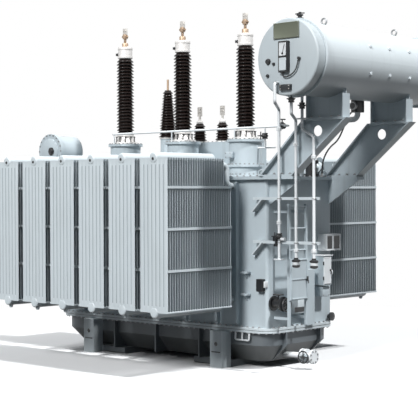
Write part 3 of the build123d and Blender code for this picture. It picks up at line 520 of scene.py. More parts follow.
def camera_rays(tree):
    """A value that is 1 for what the camera sees directly, in a mirror or through glass."""
    path = new_node(tree, "ShaderNodeLightPath")
    total = path.outputs["Is Camera Ray"]
    for ray in ("Is Glossy Ray", "Is Transmission Ray"):
        add = new_node(tree, "ShaderNodeMath", "ADD")
        add.use_clamp = True
        tree.links.new(total, add.inputs[0])
        tree.links.new(path.outputs[ray], add.inputs[1])
        total = add.outputs[0]
    return total


def mixed_shader(tree, share, first, second):
    """The output of a shader that goes from the first to the second with a share."""
    mix = new_node(tree, "ShaderNodeMixShader")
    for socket, output in zip(mix.inputs, (share, first, second)):
        tree.links.new(output, socket)
    return mix.outputs[0]


def make_world():
    """A white background, and a pale blue fill that only lights the object."""
    world = bpy.data.worlds.new("studio")
    bpy.context.scene.world = world
    world.use_nodes = True
    tree = world.node_tree
    tree.nodes.clear()
    out = new_node(tree, "ShaderNodeOutputWorld")
    seen = new_node(tree, "ShaderNodeBackground", Color=(1, 1, 1, 1), Strength=1.0)
    fill = new_node(tree, "ShaderNodeBackground", Color=(0.84, 0.92, 1.0, 1), Strength=0.14)
    both = mixed_shader(tree, camera_rays(tree), fill.outputs[0], seen.outputs[0])
    tree.links.new(both, out.inputs["Surface"])


def make_floor():
    """A pale floor that fades to white round the object, and throws little light up at it."""
    deselect()
    bpy.ops.mesh.primitive_plane_add(size=160, location=(0, 0, 0))
    floor = bpy.context.object
    floor.name = "floor"
    material = bpy.data.materials.new("pale_floor")
    material.use_nodes = True
    tree = material.node_tree
    tree.nodes.clear()
    out = new_node(tree, "ShaderNodeOutputMaterial")
    lit = new_node(tree, "ShaderNodeBsdfDiffuse", Color=(0.86, 0.87, 0.88, 1))
    plain = new_node(tree, "ShaderNodeEmission", Color=(1, 1, 1, 1))
    dull = new_node(tree, "ShaderNodeBsdfDiffuse", Color=(0.07, 0.075, 0.08, 1))
    place = new_node(tree, "ShaderNodeTexCoord")
    length = new_node(tree, "ShaderNodeVectorMath", "LENGTH")
    fade = new_node(tree, "ShaderNodeMapRange", From_Min=3.0, From_Max=9.0)
    tree.links.new(place.outputs["Object"], length.inputs[0])
    tree.links.new(length.outputs["Value"], fade.inputs["Value"])
    far = mixed_shader(tree, fade.outputs[0], lit.outputs[0], plain.outputs[0])
    seen = mixed_shader(tree, camera_rays(tree), dull.outputs[0], far)
    tree.links.new(seen, out.inputs["Surface"])
    floor.data.materials.append(material)


# Finishes


def make_weathering():
    """Node group: paint colour with mottling, rain streaks, dust and painted shade on downward faces, and its
    roughness and height.
    """
    group = bpy.data.node_groups.new("weathering", "ShaderNodeTree")
    sockets = (
        ("INPUT", "NodeSocketColor", ("Paint", "Grime And Shade")),
        ("INPUT", "NodeSocketFloat", ("Mottle", "Streaks", "Dust", "Underside Shade", "Roughness", "Grain")),
        ("OUTPUT", "NodeSocketColor", ("Color",)),
        ("OUTPUT", "NodeSocketFloat", ("Roughness", "Height")),
    )
    for way, kind, names in sockets:
        for name in names:
            group.interface.new_socket(name, in_out=way, socket_type=kind)
    link = group.links.new
    given = new_node(group, "NodeGroupInput").outputs
    result = new_node(group, "NodeGroupOutput").inputs
    place = new_node(group, "ShaderNodeTexCoord").outputs["Object"]

    def noise(scale, detail, stretch=(1, 1, 1)):
        mapping = new_node(group, "ShaderNodeMapping", Scale=stretch)
        texture = new_node(group, "ShaderNodeTexNoise", Scale=scale, Detail=detail)
        link(place, mapping.inputs["Vector"])
        link(mapping.outputs[0], texture.inputs["Vector"])
        return texture.outputs["Fac"]

    def spread(value, low, high):
        ramp = new_node(group, "ShaderNodeMapRange", From_Min=low, From_Max=high)
        link(value, ramp.inputs["Value"])
        return ramp.outputs[0]

    def times(first, second):
        node = new_node(group, "ShaderNodeMath", "MULTIPLY")
        link(first, node.inputs[0])
        link(second, node.inputs[1])
        return node.outputs[0]

    def add_share(value, share, base):
        node = new_node(group, "ShaderNodeMath", "MULTIPLY_ADD")
        link(value, node.inputs[0])
        node.inputs[1].default_value = share
        link(base, node.inputs[2])
        return node.outputs[0]

    def tint(share, base, top):
        mix = new_node(group, "ShaderNodeMix")
        mix.data_type = "RGBA"
        link(share, mix.inputs["Factor"])
        link(base, mix.inputs[6])
        link(top, mix.inputs[7])
        return mix.outputs[2]

    split = new_node(group, "ShaderNodeSeparateXYZ")
    link(new_node(group, "ShaderNodeNewGeometry").outputs["Normal"], split.inputs[0])
    mottle = spread(noise(1.7, 6), 0.35, 0.75)
    streak = spread(noise(2.2, 5, (5.0, 5.0, 0.35)), 0.56, 0.78)
    # Painted shade: faces that look downward are darkened toward the grime colour
    shade_below = spread(split.outputs["Z"], -0.15, -0.9)
    upward = times(spread(split.outputs["Z"], 0.5, 1.0), spread(noise(6, 5), 0.3, 0.8))
    settled = times(upward, given["Dust"])
    colour = given["Paint"]
    for share, strength in ((mottle, "Mottle"), (streak, "Streaks"), (shade_below, "Underside Shade")):
        colour = tint(times(share, given[strength]), colour, given["Grime And Shade"])
    dust = new_node(group, "ShaderNodeRGB")
    dust.outputs[0].default_value = (*DUST, 1)
    link(tint(settled, colour, dust.outputs[0]), result["Color"])
    rough = add_share(mottle, 0.12, given["Roughness"])
    link(add_share(settled, 0.35, rough), result["Roughness"])
    link(times(noise(260, 2), given["Grain"]), result["Height"])
    return group


def finish_material(name, colour, roughness, mottle=0.1, streaks=0.16, dust=0.25, underside_shade=0.55,
                    metallic=0.0, specular=0.5, bump=0.12):
    """A painted, cast or glazed surface with its own share of each kind of wear, and of painted shade on its
    undersides.
    """
    material = bpy.data.materials.new(name)
    material.use_nodes = True
    tree = material.node_tree
    shader = tree.nodes["Principled BSDF"]
    shader.inputs["Metallic"].default_value = metallic
    shader.inputs["Specular IOR Level"].default_value = specular
    worn = tree.nodes.new("ShaderNodeGroup")
    worn.node_tree = weathering
    given = {
        "Paint": (*colour, 1), "Grime And Shade": (*GRIME_AND_SHADE, 1), "Mottle": mottle, "Streaks": streaks, "Dust": dust,
        "Underside Shade": underside_shade, "Roughness": roughness, "Grain": 1.0,
    }
    for socket, value in given.items():
        worn.inputs[socket].default_value = value
    height = new_node(tree, "ShaderNodeBump", Strength=bump, Distance=0.002)
    tree.links.new(worn.outputs["Color"], shader.inputs["Base Color"])
    tree.links.new(worn.outputs["Roughness"], shader.inputs["Roughness"])
    tree.links.new(worn.outputs["Height"], height.inputs["Height"])
    tree.links.new(height.outputs[0], shader.inputs["Normal"])
    return material


def make_finishes():
    """Every paint, metal and glaze of the object, by name."""
    glaze = {"mottle": 0.0, "streaks": 0.0, "dust": 0.015, "specular": 0.35, "underside_shade": 0.0}
    cast = {"metallic": 0.35, "mottle": 0.12, "streaks": 0.1, "bump": 0.2}
    surfaces = {
        "tank_paint": (TANK_GREY, 0.42, {}),
        # painted shade on the pan and base beams
        "painted_pan_shade": (PAN_SHADE_GREY, 0.46, {"mottle": 0.2, "streaks": 0.2, "dust": 0.2}),
        "radiator_paint": (RADIATOR_GREY, 0.4, {"mottle": 0.06, "streaks": 0.12}),
        # painted shade between the radiator panels and in the flute grooves
        "painted_gap_shade": (GAP_SHADE_GREY, 0.6, {"mottle": 0.1, "streaks": 0.1}),
        "conservator_paint": (CONSERVATOR_GREY, 0.34, {"mottle": 0.05, "streaks": 0.08}),
        "end_paint": (END_GREY, 0.34, {"mottle": 0.12, "streaks": 0.2}),
        "pipe_paint": (PIPE_GREY, 0.4, {}),
        "cabinet_paint": (CABINET_WHITE, 0.38, {"mottle": 0.05, "streaks": 0.1}),
        "porcelain": (PORCELAIN_BROWN, 0.18, glaze),
        "head_metal": (CAST_METAL, 0.42, cast),
        "copper": (COPPER, 0.42, {"metallic": 0.6, "mottle": 0.45, "bump": 0.15}),
        "tinned_metal": (TINNED_METAL, 0.4, {"metallic": 0.7, "mottle": 0.2}),
        "dark_fitting": (FITTING_BLACK, 0.34, {"mottle": 0.0, "streaks": 0.0, "dust": 0.12}),
        "bolt_steel": (BOLT_STEEL, 0.45, {"metallic": 0.6, "mottle": 0.3, "dust": 0.2}),
        "plate_olive": (PLATE_OLIVE, 0.45, {"mottle": 0.25, "streaks": 0.15}),
    }
    return {
        name: finish_material(name, colour, roughness, **wear)
        for name, (colour, roughness, wear) in surfaces.items()
    }


# Radiators

LIP_THICKNESS = 0.008
FLUTE_START = 0.03
FLUTE_FULL = 0.09
PLUG_THICKNESS = 0.012


def fluted_panel(y, top, flutes, rim, slope, rise):
    """One pressed panel: a thin plate with upright flutes drawn out of both its faces."""
    half_width, half_lip = PANEL_WIDTH / 2, LIP_THICKNESS / 2
    panel = block((-half_width, y - half_lip, PANEL_BOTTOM), (half_width, y + half_lip, top), edge=0)
    pitch = PANEL_WIDTH / flutes
    starts = [-half_width + number * pitch for number in range(flutes)]
    crests = [start + aside for start in starts for aside in (rim + slope, pitch - rim - slope)]
    feet = [start + aside for start in starts for aside in (rim, pitch - rim)]
    low, high = PANEL_BOTTOM + FLUTE_FULL, top - FLUTE_FULL
    middle_low, middle_high = low - FLUTE_START, high + FLUTE_START
    open_piece(panel)
    for cut in sorted(crests + feet):
        cut_along((cut, y, 0), X_AXIS)
    for height in (PANEL_BOTTOM + FLUTE_START, low, high, top - FLUTE_START):
        cut_along((0, y, height), Z_AXIS)
    for side in SIDES:
        pick(panel, "VERT", lambda point: (point.co.y - y) * side > 0
             and middle_low < point.co.z < middle_high
             and min(abs(point.co.x - crest) for crest in crests) < 0.0005)
        bpy.ops.transform.translate(value=(0, side * rise, 0))
    pick_all()
    bpy.ops.mesh.dissolve_limited(angle_limit=math.radians(1))
    if flutes > 1:
        for height in (low, high):
            cut_along((0, y, height), Z_AXIS)
    close_piece()
    return panel


def outer_panel(y, top):
    """A panel whose face is seen, with all its flutes."""
    return fluted_panel(y, top, flutes=7, rim=0.0055, slope=0.018, rise=0.011)


def inner_panel(y, top):
    """A panel inside a stack, of which only the edges are seen."""
    return fluted_panel(y, top, flutes=1, rim=0.01, slope=0.014, rise=0.007)


def header(height, inner):
    """A header pipe along the stack, with a dished outer end."""
    start = -STACK_OUTER - HEADER_OVERHANG
    length = -start - inner
    outline = [
        (0, 0), (0.03, 0), (0.06, 0.004), (0.074, 0.014), (HEADER_RADIUS, 0.028),
        (HEADER_RADIUS, length - 0.004), (HEADER_RADIUS - 0.004, length), (0, length),
    ]
    return turned(outline, (0, start, height), Y_AXIS, sides=24)


def drain_boss():
    """The tapered boss under a lower header, with its plug."""
    outline = [
        (0, 0), (0.016, 0), (0.026, 0.008), (0.03, 0.03), (0.05, 0.055), (0.066, 0.085), (0, 0.085),
    ]
    return turned(outline, (0, -STACK_OUTER + 0.07, PANEL_BOTTOM - 0.114), sides=20)


def foot_bar(side):
    """The flat bar along the lower corner of a stack."""
    middle, half = side * 0.264, 0.004
    return block((middle - half, -STACK_OUTER, 0.918), (middle + half, -STACK_INNER, 0.94), 0.002)


def radiator_stack():
    """One near stack about X 0: its panels, headers, drain boss and foot bars."""
    tall = PANEL_COUNT - SHORT_PANELS
    last = FIRST_PANEL + PANEL_PITCH * (PANEL_COUNT - 1)
    inward = [(0, PANEL_PITCH * number, 0) for number in range(1, tall)]
    outward = [(0, -PANEL_PITCH * number, 0) for number in range(1, SHORT_PANELS)]
    return join([
        repeat(inner_panel(FIRST_PANEL, PANEL_TOP), shifts(inward)),
        repeat(inner_panel(last, SHORT_PANEL_TOP), shifts(outward)),
        outer_panel(FIRST_PANEL, PANEL_TOP),
        outer_panel(last, SHORT_PANEL_TOP),
        header(PANEL_TOP, STACK_INNER + SHORT_PANELS * PANEL_PITCH - HEADER_OVERLAP),
        header(PANEL_BOTTOM, STACK_INNER - HEADER_OVERLAP),
        drain_boss(),
        *[foot_bar(side) for side in SIDES],
    ])


def paint_gap_shade(radiator, x):
    """Give the painted shade, a darker paint, to the faces between the panels and between the outer flutes.
    """
    radiator.data.materials.append(finishes["painted_gap_shade"])
    groove = -FIRST_PANEL + LIP_THICKNESS / 2
    for face in radiator.data.polygons:
        aside, depth, height = abs(face.center.x - x), abs(face.center.y), face.center.z
        between_panels = STACK_INNER + 0.03 < depth < STACK_OUTER - 0.02
        fluted = PANEL_BOTTOM + FLUTE_FULL < height < PANEL_TOP - FLUTE_FULL
        between_flutes = fluted and abs(depth - groove) < 0.001 and aside < PANEL_WIDTH / 2 - 0.02
        if abs(face.normal.y) > 0.98 and (between_panels or between_flutes):
            face.material_index = 1


def make_radiators():
    """The twelve stacks, with the plugs on their upper headers and the bolts on their necks."""
    stack = radiator_stack()
    plug_place = (0, -STACK_OUTER - PLUG_THICKNESS, PANEL_TOP - 0.012)
    plug = disc(0.021, PLUG_THICKNESS, plug_place, Y_AXIS, sides=16)
    for bank, side in (("near", -1), ("far", 1)):
        flanges = [(x, side * NECK_FLANGE_Y, NECK_FLANGE_Z) for x in RADIATOR_X]
        out = (0, side, 0)
        bolts(f"neck_bolts_{bank}", 0.009, rings(0.066, 6, flanges, out), out)
    for bank, turn in (("near", 0), ("far", math.pi)):
        for number, x in enumerate(RADIATOR_X, start=1):
            move = Matrix.Translation((x, 0, 0)) @ Matrix.Rotation(turn, 4, "Z")
            radiator = finish(moved_copy(stack, move), f"{bank}_radiator_{number}", "radiator_paint",
                              angle=24, stands_for=(f"{bank}_radiators",))
            paint_gap_shade(radiator, x)
            finish(moved_copy(plug, move), f"{bank}_header_plug_{number}", "dark_fitting")
    bpy.data.objects.remove(stack)
    bpy.data.objects.remove(plug)


# Bushings


def shed_outline(bottom, top, core, reach, count, narrow_share):
    """Outline of a porcelain: sloping sheds, every second one narrower, up a core that may taper."""
    outline = [(0, bottom), (core[0], bottom)]
    pitch = (top - bottom - 0.02) / count
    for number in range(count):
        share = number / (count - 1)
        inner = core[0] + (core[1] - core[0]) * share
        outer = reach[0] + (reach[1] - reach[0]) * share
        if number % 2:
            outer = inner + (outer - inner) * narrow_share
        base = bottom + 0.01 + number * pitch
        outline += [
            (inner, base + 0.26 * pitch), (outer - 0.006, base + 0.04 * pitch),
            (outer - 0.001, base + 0.1 * pitch), (outer - 0.002, base + 0.26 * pitch),
            (inner + 0.35 * (outer - inner), base + 0.66 * pitch), (inner, base + 0.92 * pitch),
        ]
    return outline + [(core[1], top), (0, top)]


def hv_collar():
    """The flange and socket that hold a high-voltage porcelain's foot."""
    outline = [
        (0.1, 0), (0.196, 0), (0.2, 0.004), (0.2, 0.028), (0.196, 0.032), (0.15, 0.034), (0.138, 0.056),
        (0.122, 0.096), (0.118, 0.118), (0.132, 0.122), (0.136, 0.126), (0.136, 0.158), (0.132, 0.162),
        (0.1, 0.162),
    ]
    return turned(outline, (0, 0, HV_COLLAR), sides=36)


def hv_head():
    """The cast cap on a high-voltage porcelain."""
    outline = [
        (0, 0), (0.108, 0), (0.12, 0.004), (0.122, 0.01), (0.122, 0.036), (0.116, 0.04), (0.116, 0.142),
        (0.122, 0.146), (0.122, 0.172), (0.112, 0.184), (0.06, 0.194), (0, 0.197),
    ]
    return turned(outline, (0, 0, HV_HEAD), sides=36)


def hv_terminal():
    """The threaded stud on a head, with the clamp that grips it."""
    thread = [(0, 0), (0.05, 0), (0.05, 0.056), (0.046, 0.062), (0.024, 0.064)]
    for number in range(9):
        level = 0.068 + 0.012 * number
        thread += [(0.019, level), (0.023, level + 0.004), (0.023, level + 0.008)]
    stud = turned(thread + [(0.019, 0.21), (0, 0.214)], (0, 0, HV_STUD), sides=20)
    clamp = block((-0.034, -0.03, 5.05), (0.034, 0.03, 5.126), 0.008)
    seats = [upright_to((side * 0.034, y, 5.088), (side, 0, 0)) for side in SIDES for y in (-0.018, 0.018)]
    return join([stud, clamp, repeat(bolt_head(0.014), seats)])


def hv_palm():
    """The flat plate on top of a stud, with its nuts."""
    plate = block((-0.048, -0.008, HV_PALM[0]), (0.048, 0.008, HV_PALM[1]), 0.004)
    seats = [upright_to((x, side * 0.008, 5.18), (0, side, 0)) for side in SIDES for x in (-0.026, 0.026)]
    return join([plate, repeat(bolt_head(0.01), seats)])


def make_hv_bushings():
    """The three high-voltage bushings, from the turret flange to the palm."""
    places = shifts((x, HV_Y, 0) for x in HV_X)
    porcelain = turned(shed_outline(*HV_PORCELAIN, (0.106, 0.1), (0.147, 0.143), 24, 0.86), sides=36)
    finish_copies(porcelain, "hv_porcelain", "porcelain", places, ("hv_bushings",))
    finish_copies(hv_collar(), "hv_collar", "head_metal", places)
    finish_copies(hv_head(), "hv_head", "head_metal", places, ("hv_terminals",))
    finish_copies(hv_terminal(), "hv_terminal", "copper", places, ("hv_terminals",))
    finish_copies(hv_palm(), "hv_palm", "copper", places, look="tinned_metal")
    aside = Vector((-0.737, -0.676, 0))
    plug_outline = [
        (0, 0), (0.028, 0), (0.028, 0.02), (0.018, 0.024), (0.018, 0.034), (0.022, 0.036), (0.022, 0.046),
        (0, 0.048),
    ]
    plug = turned(plug_outline, aside * 0.106 + Vector((0, 0, HV_HEAD + 0.068)), aside, sides=14)
    finish_copies(plug, "hv_head_plug", "dark_fitting", places)
    clamp_outline = [
        (0, 0), (0.015, 0), (0.015, 0.012), (0.008, 0.014), (0.008, 0.078), (0.015, 0.08), (0.015, 0.092),
        (0, 0.094),
    ]
    clamps = repeat(turned(clamp_outline, sides=8), shifts(ring(0.15, 10, (0, 0, HV_COLLAR + 0.032))))
    finish_copies(clamps, "hv_clamps", "dark_fitting", places)
    flanges = [(x, HV_Y, level) for x in HV_X for level in HV_FLANGES]
    bolts("turret_bolts", 0.013, rings(0.262, 24, flanges))


def porcelain_base(inner, radius, shoulder, neck, place):
    """The metal ring under a small porcelain; its shoulder and neck are a radius and a height each."""
    outline = [
        (inner, 0), (radius - 0.004, 0), (radius, 0.004), (radius, 0.018), shoulder, neck, (inner, neck[1]),
    ]
    return turned(outline, place)


def make_lv_bushings():
    """The three low-voltage bushings, and the bolts of the box that carries them."""
    places = shifts((x, LV_Y, 0) for x in LV_X)
    porcelain = turned(shed_outline(*LV_PORCELAIN, (0.08, 0.06), (0.116, 0.098), 6, 0.8))
    finish_copies(porcelain, "lv_porcelain", "porcelain", places, ("lv_bushings",))
    base = porcelain_base(0.05, 0.12, (0.096, 0.024), (0.078, 0.034), (0, 0, LV_BASE))
    finish_copies(base, "lv_base", "head_metal", places)
    cap_outline = [
        (0, 0), (0.05, 0), (0.054, 0.006), (0.054, 0.036), (0.044, 0.046), (0.03, 0.05), (0.03, 0.068),
        (0.02, 0.072), (0, 0.074),
    ]
    finish_copies(turned(cap_outline, (0, 0, LV_CAP), sides=24), "lv_cap", "head_metal", places)
    feet = [(x, LV_Y, LV_BASE + 0.018) for x in LV_X]
    bolts("lv_base_bolts", 0.01, rings(0.104, 8, feet))
    left, near = LV_BOX_X[0], LV_BOX_Y[0]
    rows = [(left + 0.0962 * number, y, LV_BOX_TOP) for number in range(16) for y in LV_BOX_Y]
    rows += [(x, near + 0.0915 * number, LV_BOX_TOP) for number in (1, 2, 3) for x in LV_BOX_X]
    bolts("lv_box_bolts", 0.011, rows)
    flags = [
        (x + aside, LV_Y - 0.009, level)
        for x in LV_X for aside in (-0.022, 0.022) for level in (3.835, 3.885)
    ]
    bolts("lv_flag_bolts", 0.011, flags, TO_NEAR, "tinned_metal")


def make_neutral_bushing():
    """The single tapered bushing on the neutral turret."""
    outline = shed_outline(*NEUTRAL_PORCELAIN, (0.112, 0.054), (0.156, 0.086), 17, 0.85)
    finish(turned(outline, (*NEUTRAL, 0)), "neutral_porcelain", "porcelain", stands_for=("neutral_bushing",))
    foot = porcelain_base(0.06, 0.142, (0.11, 0.022), (0.096, 0.034), (*NEUTRAL, NEUTRAL_BASE))
    finish(foot, "neutral_base", "head_metal")
    bolts("neutral_base_bolts", 0.01, ring(0.124, 8, (*NEUTRAL, NEUTRAL_BASE + 0.018)))


# Tank


def make_tank_fittings():
    """The flange's bolts and gasket, and the bolts of the drum, the arms and the saddles."""
    edge = round_rim(0.25, 0.105, FLANGE_TOP)
    bolts("flange_bolts", 0.016, edge)
    bolts("flange_nuts", 0.016, [(place.x, place.y, FLANGE_UNDERSIDE) for place in edge], (0, 0, -1))
    length, width, half = RIM_LENGTH + 0.003, RIM_WIDTH + 0.003, 0.0025
    gasket = block((-length, -width, FLANGE_JOINT - half), (length, width, FLANGE_JOINT + half), 0)
    open_piece(gasket)
    pick(gasket, "EDGE", lambda edge: abs(edge.verts[0].co.z - edge.verts[1].co.z) > 0.001)
    bpy.ops.mesh.bevel(offset=0.283, segments=10, affect="EDGES")
    close_piece()
    finish(gasket, "flange_gasket", "dark_fitting")
    bolts("drum_bolts", 0.011, ring(0.268, 20, DRUM, TO_NEAR), TO_NEAR)
    arm_feet = [
        (x, side * ARM_Y + aside, COVER_TOP + 0.022)
        for side in SIDES for x in (2.357, 2.501, 2.64) for aside in (-0.048, 0.048)
    ]
    bolts("arm_foot_bolts", 0.019, arm_feet)
    saddle_feet = [
        (x, side * ARM_Y + aside, SADDLE_FOOT)
        for side in SIDES for x in (3.03, 3.16, 3.36, 3.49) for aside in (-0.055, 0.055)
    ]
    bolts("saddle_foot_bolts", 0.016, saddle_feet)


# Conservator

GAUGE_BACK = -1.6
GAUGE_FRONT = -1.69
DIAL_FRONT = -1.696
NEEDLE_SEAT = (3.228, -1.697, 4.35)
CABLE_DEPTH = -1.66
PLATE_FRONT = CAP_Y - 0.016
BOX_FRONT = CAP_Y - 0.045


def make_end_gauge():
    """The level gauge on the conservator's end, with its dial, lower panel and cable."""
    body = block((3.15, GAUGE_FRONT, 4.106), (3.306, GAUGE_BACK, 4.516), 0.01)
    press(body, TO_NEAR, 0.012, sink=0.01)
    finish(body, "gauge_body", "dark_fitting", stands_for=("level_gauge",))
    dial = block((3.172, DIAL_FRONT, 4.322), (3.284, DIAL_FRONT + 0.02, 4.492), 0.006)
    finish(press(dial, TO_NEAR, 0.012, depth=-0.006), "gauge_dial", "cabinet_paint")
    blade = bent_tube([(3.228, -1.692, 4.35), (3.252, -1.693, 4.43), (3.262, -1.692, 4.468)], 0.004)
    hub = disc(0.016, 0.008, NEEDLE_SEAT, Y_AXIS, 0.002, 14)
    finish(join([blade, hub]), "gauge_needle", "dark_fitting")
    panel = block((3.172, DIAL_FRONT, 4.13), (3.284, DIAL_FRONT + 0.02, 4.296), 0.004)
    finish(press(panel, TO_NEAR, 0.014, depth=-0.004), "gauge_panel", "conservator_paint")
    cable = bent_tube([
        (3.2, -1.655, 4.112), (3.195, -1.658, 4.05), (3.3, CABLE_DEPTH, 4.045),
        (3.41, CABLE_DEPTH, 4.105), (3.456, CABLE_DEPTH, 4.2), (3.468, CABLE_DEPTH, 4.262),
    ], 0.009)
    gland = turned([(0, 0), (0.015, 0), (0.015, 0.026), (0, 0.026)], (3.2, -1.655, 4.088), sides=8)
    seat = disc(0.02, 0.04, (3.469, -1.668, 4.276), Y_AXIS, 0.003, 14)
    finish(join([cable, gland, seat]), "gauge_cable", "dark_fitting")


def make_blank_plate():
    """The olive plate on the conservator's end, on its spacers, with nothing written on it."""
    plate = block((3.04, PLATE_FRONT, 4.55), (3.465, PLATE_FRONT + 0.006, 4.76), 0.002)
    open_piece(plate)
    pick_side(plate, TO_NEAR)
    bpy.ops.mesh.inset(thickness=0.01)
    bpy.ops.mesh.inset(thickness=0.002, depth=-0.0015)
    close_piece()
    finish(plate, "blank_plate", "conservator_paint", "plate_olive")
    seats = [(3.075, 0, 4.58), (3.43, 0, 4.58), (3.15, 0, 4.7), (3.36, 0, 4.7)]
    spacers = repeat(disc(0.012, 0.03, (0, CAP_Y - 0.01, 0), Y_AXIS, sides=12), shifts(seats))
    finish(spacers, "plate_spacers", "conservator_paint")
    corners = [(x, PLATE_FRONT, z) for x in (3.055, 3.45) for z in (4.565, 4.745)]
    bolts("plate_screws", 0.006, corners, TO_NEAR)


def make_conservator_ends():
    """The two dished ends, with the plugs and the terminal box on the one that is seen."""
    outline = [
        (0, 0), (0.484, 0), (0.5, 0.006), (0.508, 0.016), (0.508, 0.028), (0.502, 0.036), (0.496, 0.04),
        (0.496, 0.172), (0, 0.172),
    ]
    ends = [
        turned(outline, (CONSERVATOR_X, side * CAP_Y, CONSERVATOR_Z), (0, side, 0), 72) for side in SIDES
    ]
    finish(join(ends), "conservator_dished_ends", "conservator_paint", "end_paint",
           stands_for=("conservator_end_caps",))
    plugs = []
    for x, z, radius in ((2.943, 4.267, 0.032), (3.037, 4.23, 0.014), (2.934, 4.079, 0.016),
                         (3.07, 3.978, 0.018)):
        step = radius + 0.008
        outline = [
            (0, 0), (radius - 0.006, 0), (radius, 0.005), (radius, 0.022), (step, 0.024), (step, 0.09),
            (0, 0.09),
        ]
        plugs.append(turned(outline, (x, CAP_Y - 0.035, z), Y_AXIS, 18))
    finish(join(plugs), "end_cap_plugs", "dark_fitting")
    box = block((3.155, BOX_FRONT, 3.872), (3.339, CAP_Y + 0.06, 3.95), 0.008)
    finish(box, "end_terminal_box", "dark_fitting")
    corners = [(x, BOX_FRONT, z) for x in (3.175, 3.319) for z in (3.89, 3.932)]
    bolts("terminal_box_screws", 0.006, corners, TO_NEAR, "tinned_metal")


def make_conservator_top():
    """The valve and the lifting eyes on top of the conservator, and the bosses along its side."""
    outline = [
        (0, 0), (0.03, 0), (0.03, 0.046), (0.052, 0.048), (0.052, 0.062), (0.028, 0.066), (0.028, 0.088),
        (0.046, 0.092), (0.046, 0.108), (0.012, 0.112), (0.012, 0.132), (0.02, 0.134), (0.02, 0.14),
        (0, 0.142),
    ]
    x, y = CONSERVATOR_X, -1.36
    grip = bent_tube([(x - 0.075, y, 4.9), (x, y, 4.908), (x + 0.075, y, 4.9)], 0.008)
    valve = join([turned(outline, (x, y, 4.78), sides=20), grip])
    finish(valve, "conservator_top_valve", "dark_fitting")
    eyes = []
    for y in (-0.837, 0.831):
        eyes.append(hoop(0.042, 0.012, (x, y, 4.846), upright=True))
        eyes.append(block((x - 0.03, y - 0.016, 4.78), (x + 0.03, y + 0.016, 4.806), 0.004))
    finish(join(eyes), "conservator_lifting_eyes", "dark_fitting", "bolt_steel")
    outline = [
        (0, 0), (0.03, 0), (0.03, 0.022), (0.026, 0.026), (0.014, 0.028), (0.012, 0.036), (0, 0.037),
    ]
    bosses = []
    for slope in (-21, 25):
        out = Vector((math.cos(math.radians(slope)), 0, math.sin(math.radians(slope))))
        for y in (-0.39, 0.06, 0.55):
            place = Vector((CONSERVATOR_X, y, CONSERVATOR_Z)) + out * 0.47
            bosses.append(turned(outline, place, out, 16))
    finish(join(bosses), "conservator_bosses", "conservator_paint")


# Pipes and their valves

BREATHER_BOTTOM = 1.5
VENT_Y = -0.44
VENT_Z = 3.49
BRANCH_X = 1.884
SAMPLING_X = 2.44


def make_pipe_runs():
    """The three pipes that come down from the conservator, each with its real bends."""
    outer_x, middle_x, inner_x = PIPE_X
    tap_y = -1.378
    runs = {
        "outer": [(inner_x, -1.6, 3.975), (inner_x, -1.705, 3.975), (inner_x, -1.705, 3.72),
                  (outer_x, PIPE_Y, 3.695), (outer_x, PIPE_Y, 1.605)],
        "middle": [(3.125, tap_y, 3.86), (3.125, tap_y, 3.585), (middle_x, PIPE_Y, 3.535),
                   (middle_x, PIPE_Y, 1.62)],
        "inner": [(2.91, PIPE_Y, 4.0), (2.91, PIPE_Y, 3.405), (inner_x, PIPE_Y, 3.295),
                  (inner_x, PIPE_Y, 1.62)],
    }
    for name, points in runs.items():
        finish(bent_pipe(points, 0.021), f"{name}_pipe_run", "pipe_paint", stands_for=(f"{name}_pipe",))
    bar = Vector((0.6, -0.8, 0))
    valves = [
        pipe_valve((outer_x, PIPE_Y, 1.93), Z_AXIS, TO_NEAR),
        pipe_valve((3.125, tap_y, 3.777), Z_AXIS, bar),
        pipe_valve((2.91, PIPE_Y, 3.727), Z_AXIS, bar),
    ]
    finish(join(valves), "pipe_valves_modelled", "dark_fitting", stands_for=("pipe_valves",))


def make_sampling_point():
    """The small valve, the sight cup and the foot plate at the outer pipe's lower end."""
    x, outer_x = SAMPLING_X, PIPE_X[0]
    parts = [
        block((2.405, PIPE_Y - 0.03, 1.86), (2.47, PIPE_Y + 0.03, 1.922), 0.006),
        block((2.415, PIPE_Y - 0.022, 1.786), (2.47, PIPE_Y + 0.022, 1.826), 0.006),
        bent_tube([(x, PIPE_Y, 1.9), (x, PIPE_Y, 1.8)], 0.012, order=2),
        bent_tube([(x, PIPE_Y, 1.89), (outer_x, PIPE_Y, 1.89)], 0.012, order=2),
        bent_tube([(x, PIPE_Y, 1.806), (outer_x, PIPE_Y, 1.806)], 0.01, order=2),
    ]
    finish(join(parts), "sampling_valve", "dark_fitting")
    outline = [
        (0, 0), (0.026, 0), (0.026, 0.06), (0.02, 0.066), (0.02, 0.086), (0.026, 0.09), (0.026, 0.104),
        (0, 0.104),
    ]
    finish(turned(outline, (outer_x, PIPE_Y, 1.886), X_AXIS, 18), "sampling_cup", "cabinet_paint")
    foot = block((outer_x - 0.07, PIPE_Y - 0.045, 1.6), (outer_x + 0.07, PIPE_Y + 0.045, 1.614), 0.003)
    finish(foot, "outer_pipe_foot", "pipe_paint")


def make_breathers():
    """The two breathers at the foot of the middle and inner pipes, with their pale sleeves."""
    body = [
        (0, 0), (0.026, 0), (0.048, 0.008), (0.056, 0.02), (0.056, 0.034), (0.046, 0.038), (0.046, 0.082),
        (0.06, 0.086), (0.062, 0.092), (0.062, 0.106), (0.044, 0.116), (0.03, 0.12), (0.03, 0.14),
        (0, 0.14),
    ]
    sleeve = [(0.04, 0), (0.05, 0), (0.051, 0.004), (0.051, 0.034), (0.05, 0.038), (0.04, 0.038)]
    bodies = [turned(body, (x, PIPE_Y, BREATHER_BOTTOM), sides=24) for x in PIPE_X[1:]]
    finish(join(bodies), "breather_bodies", "dark_fitting", stands_for=("breathers",))
    sleeves = [turned(sleeve, (x, PIPE_Y, BREATHER_BOTTOM + 0.041), sides=24) for x in PIPE_X[1:]]
    finish(join(sleeves), "breather_sleeves", "cabinet_paint")


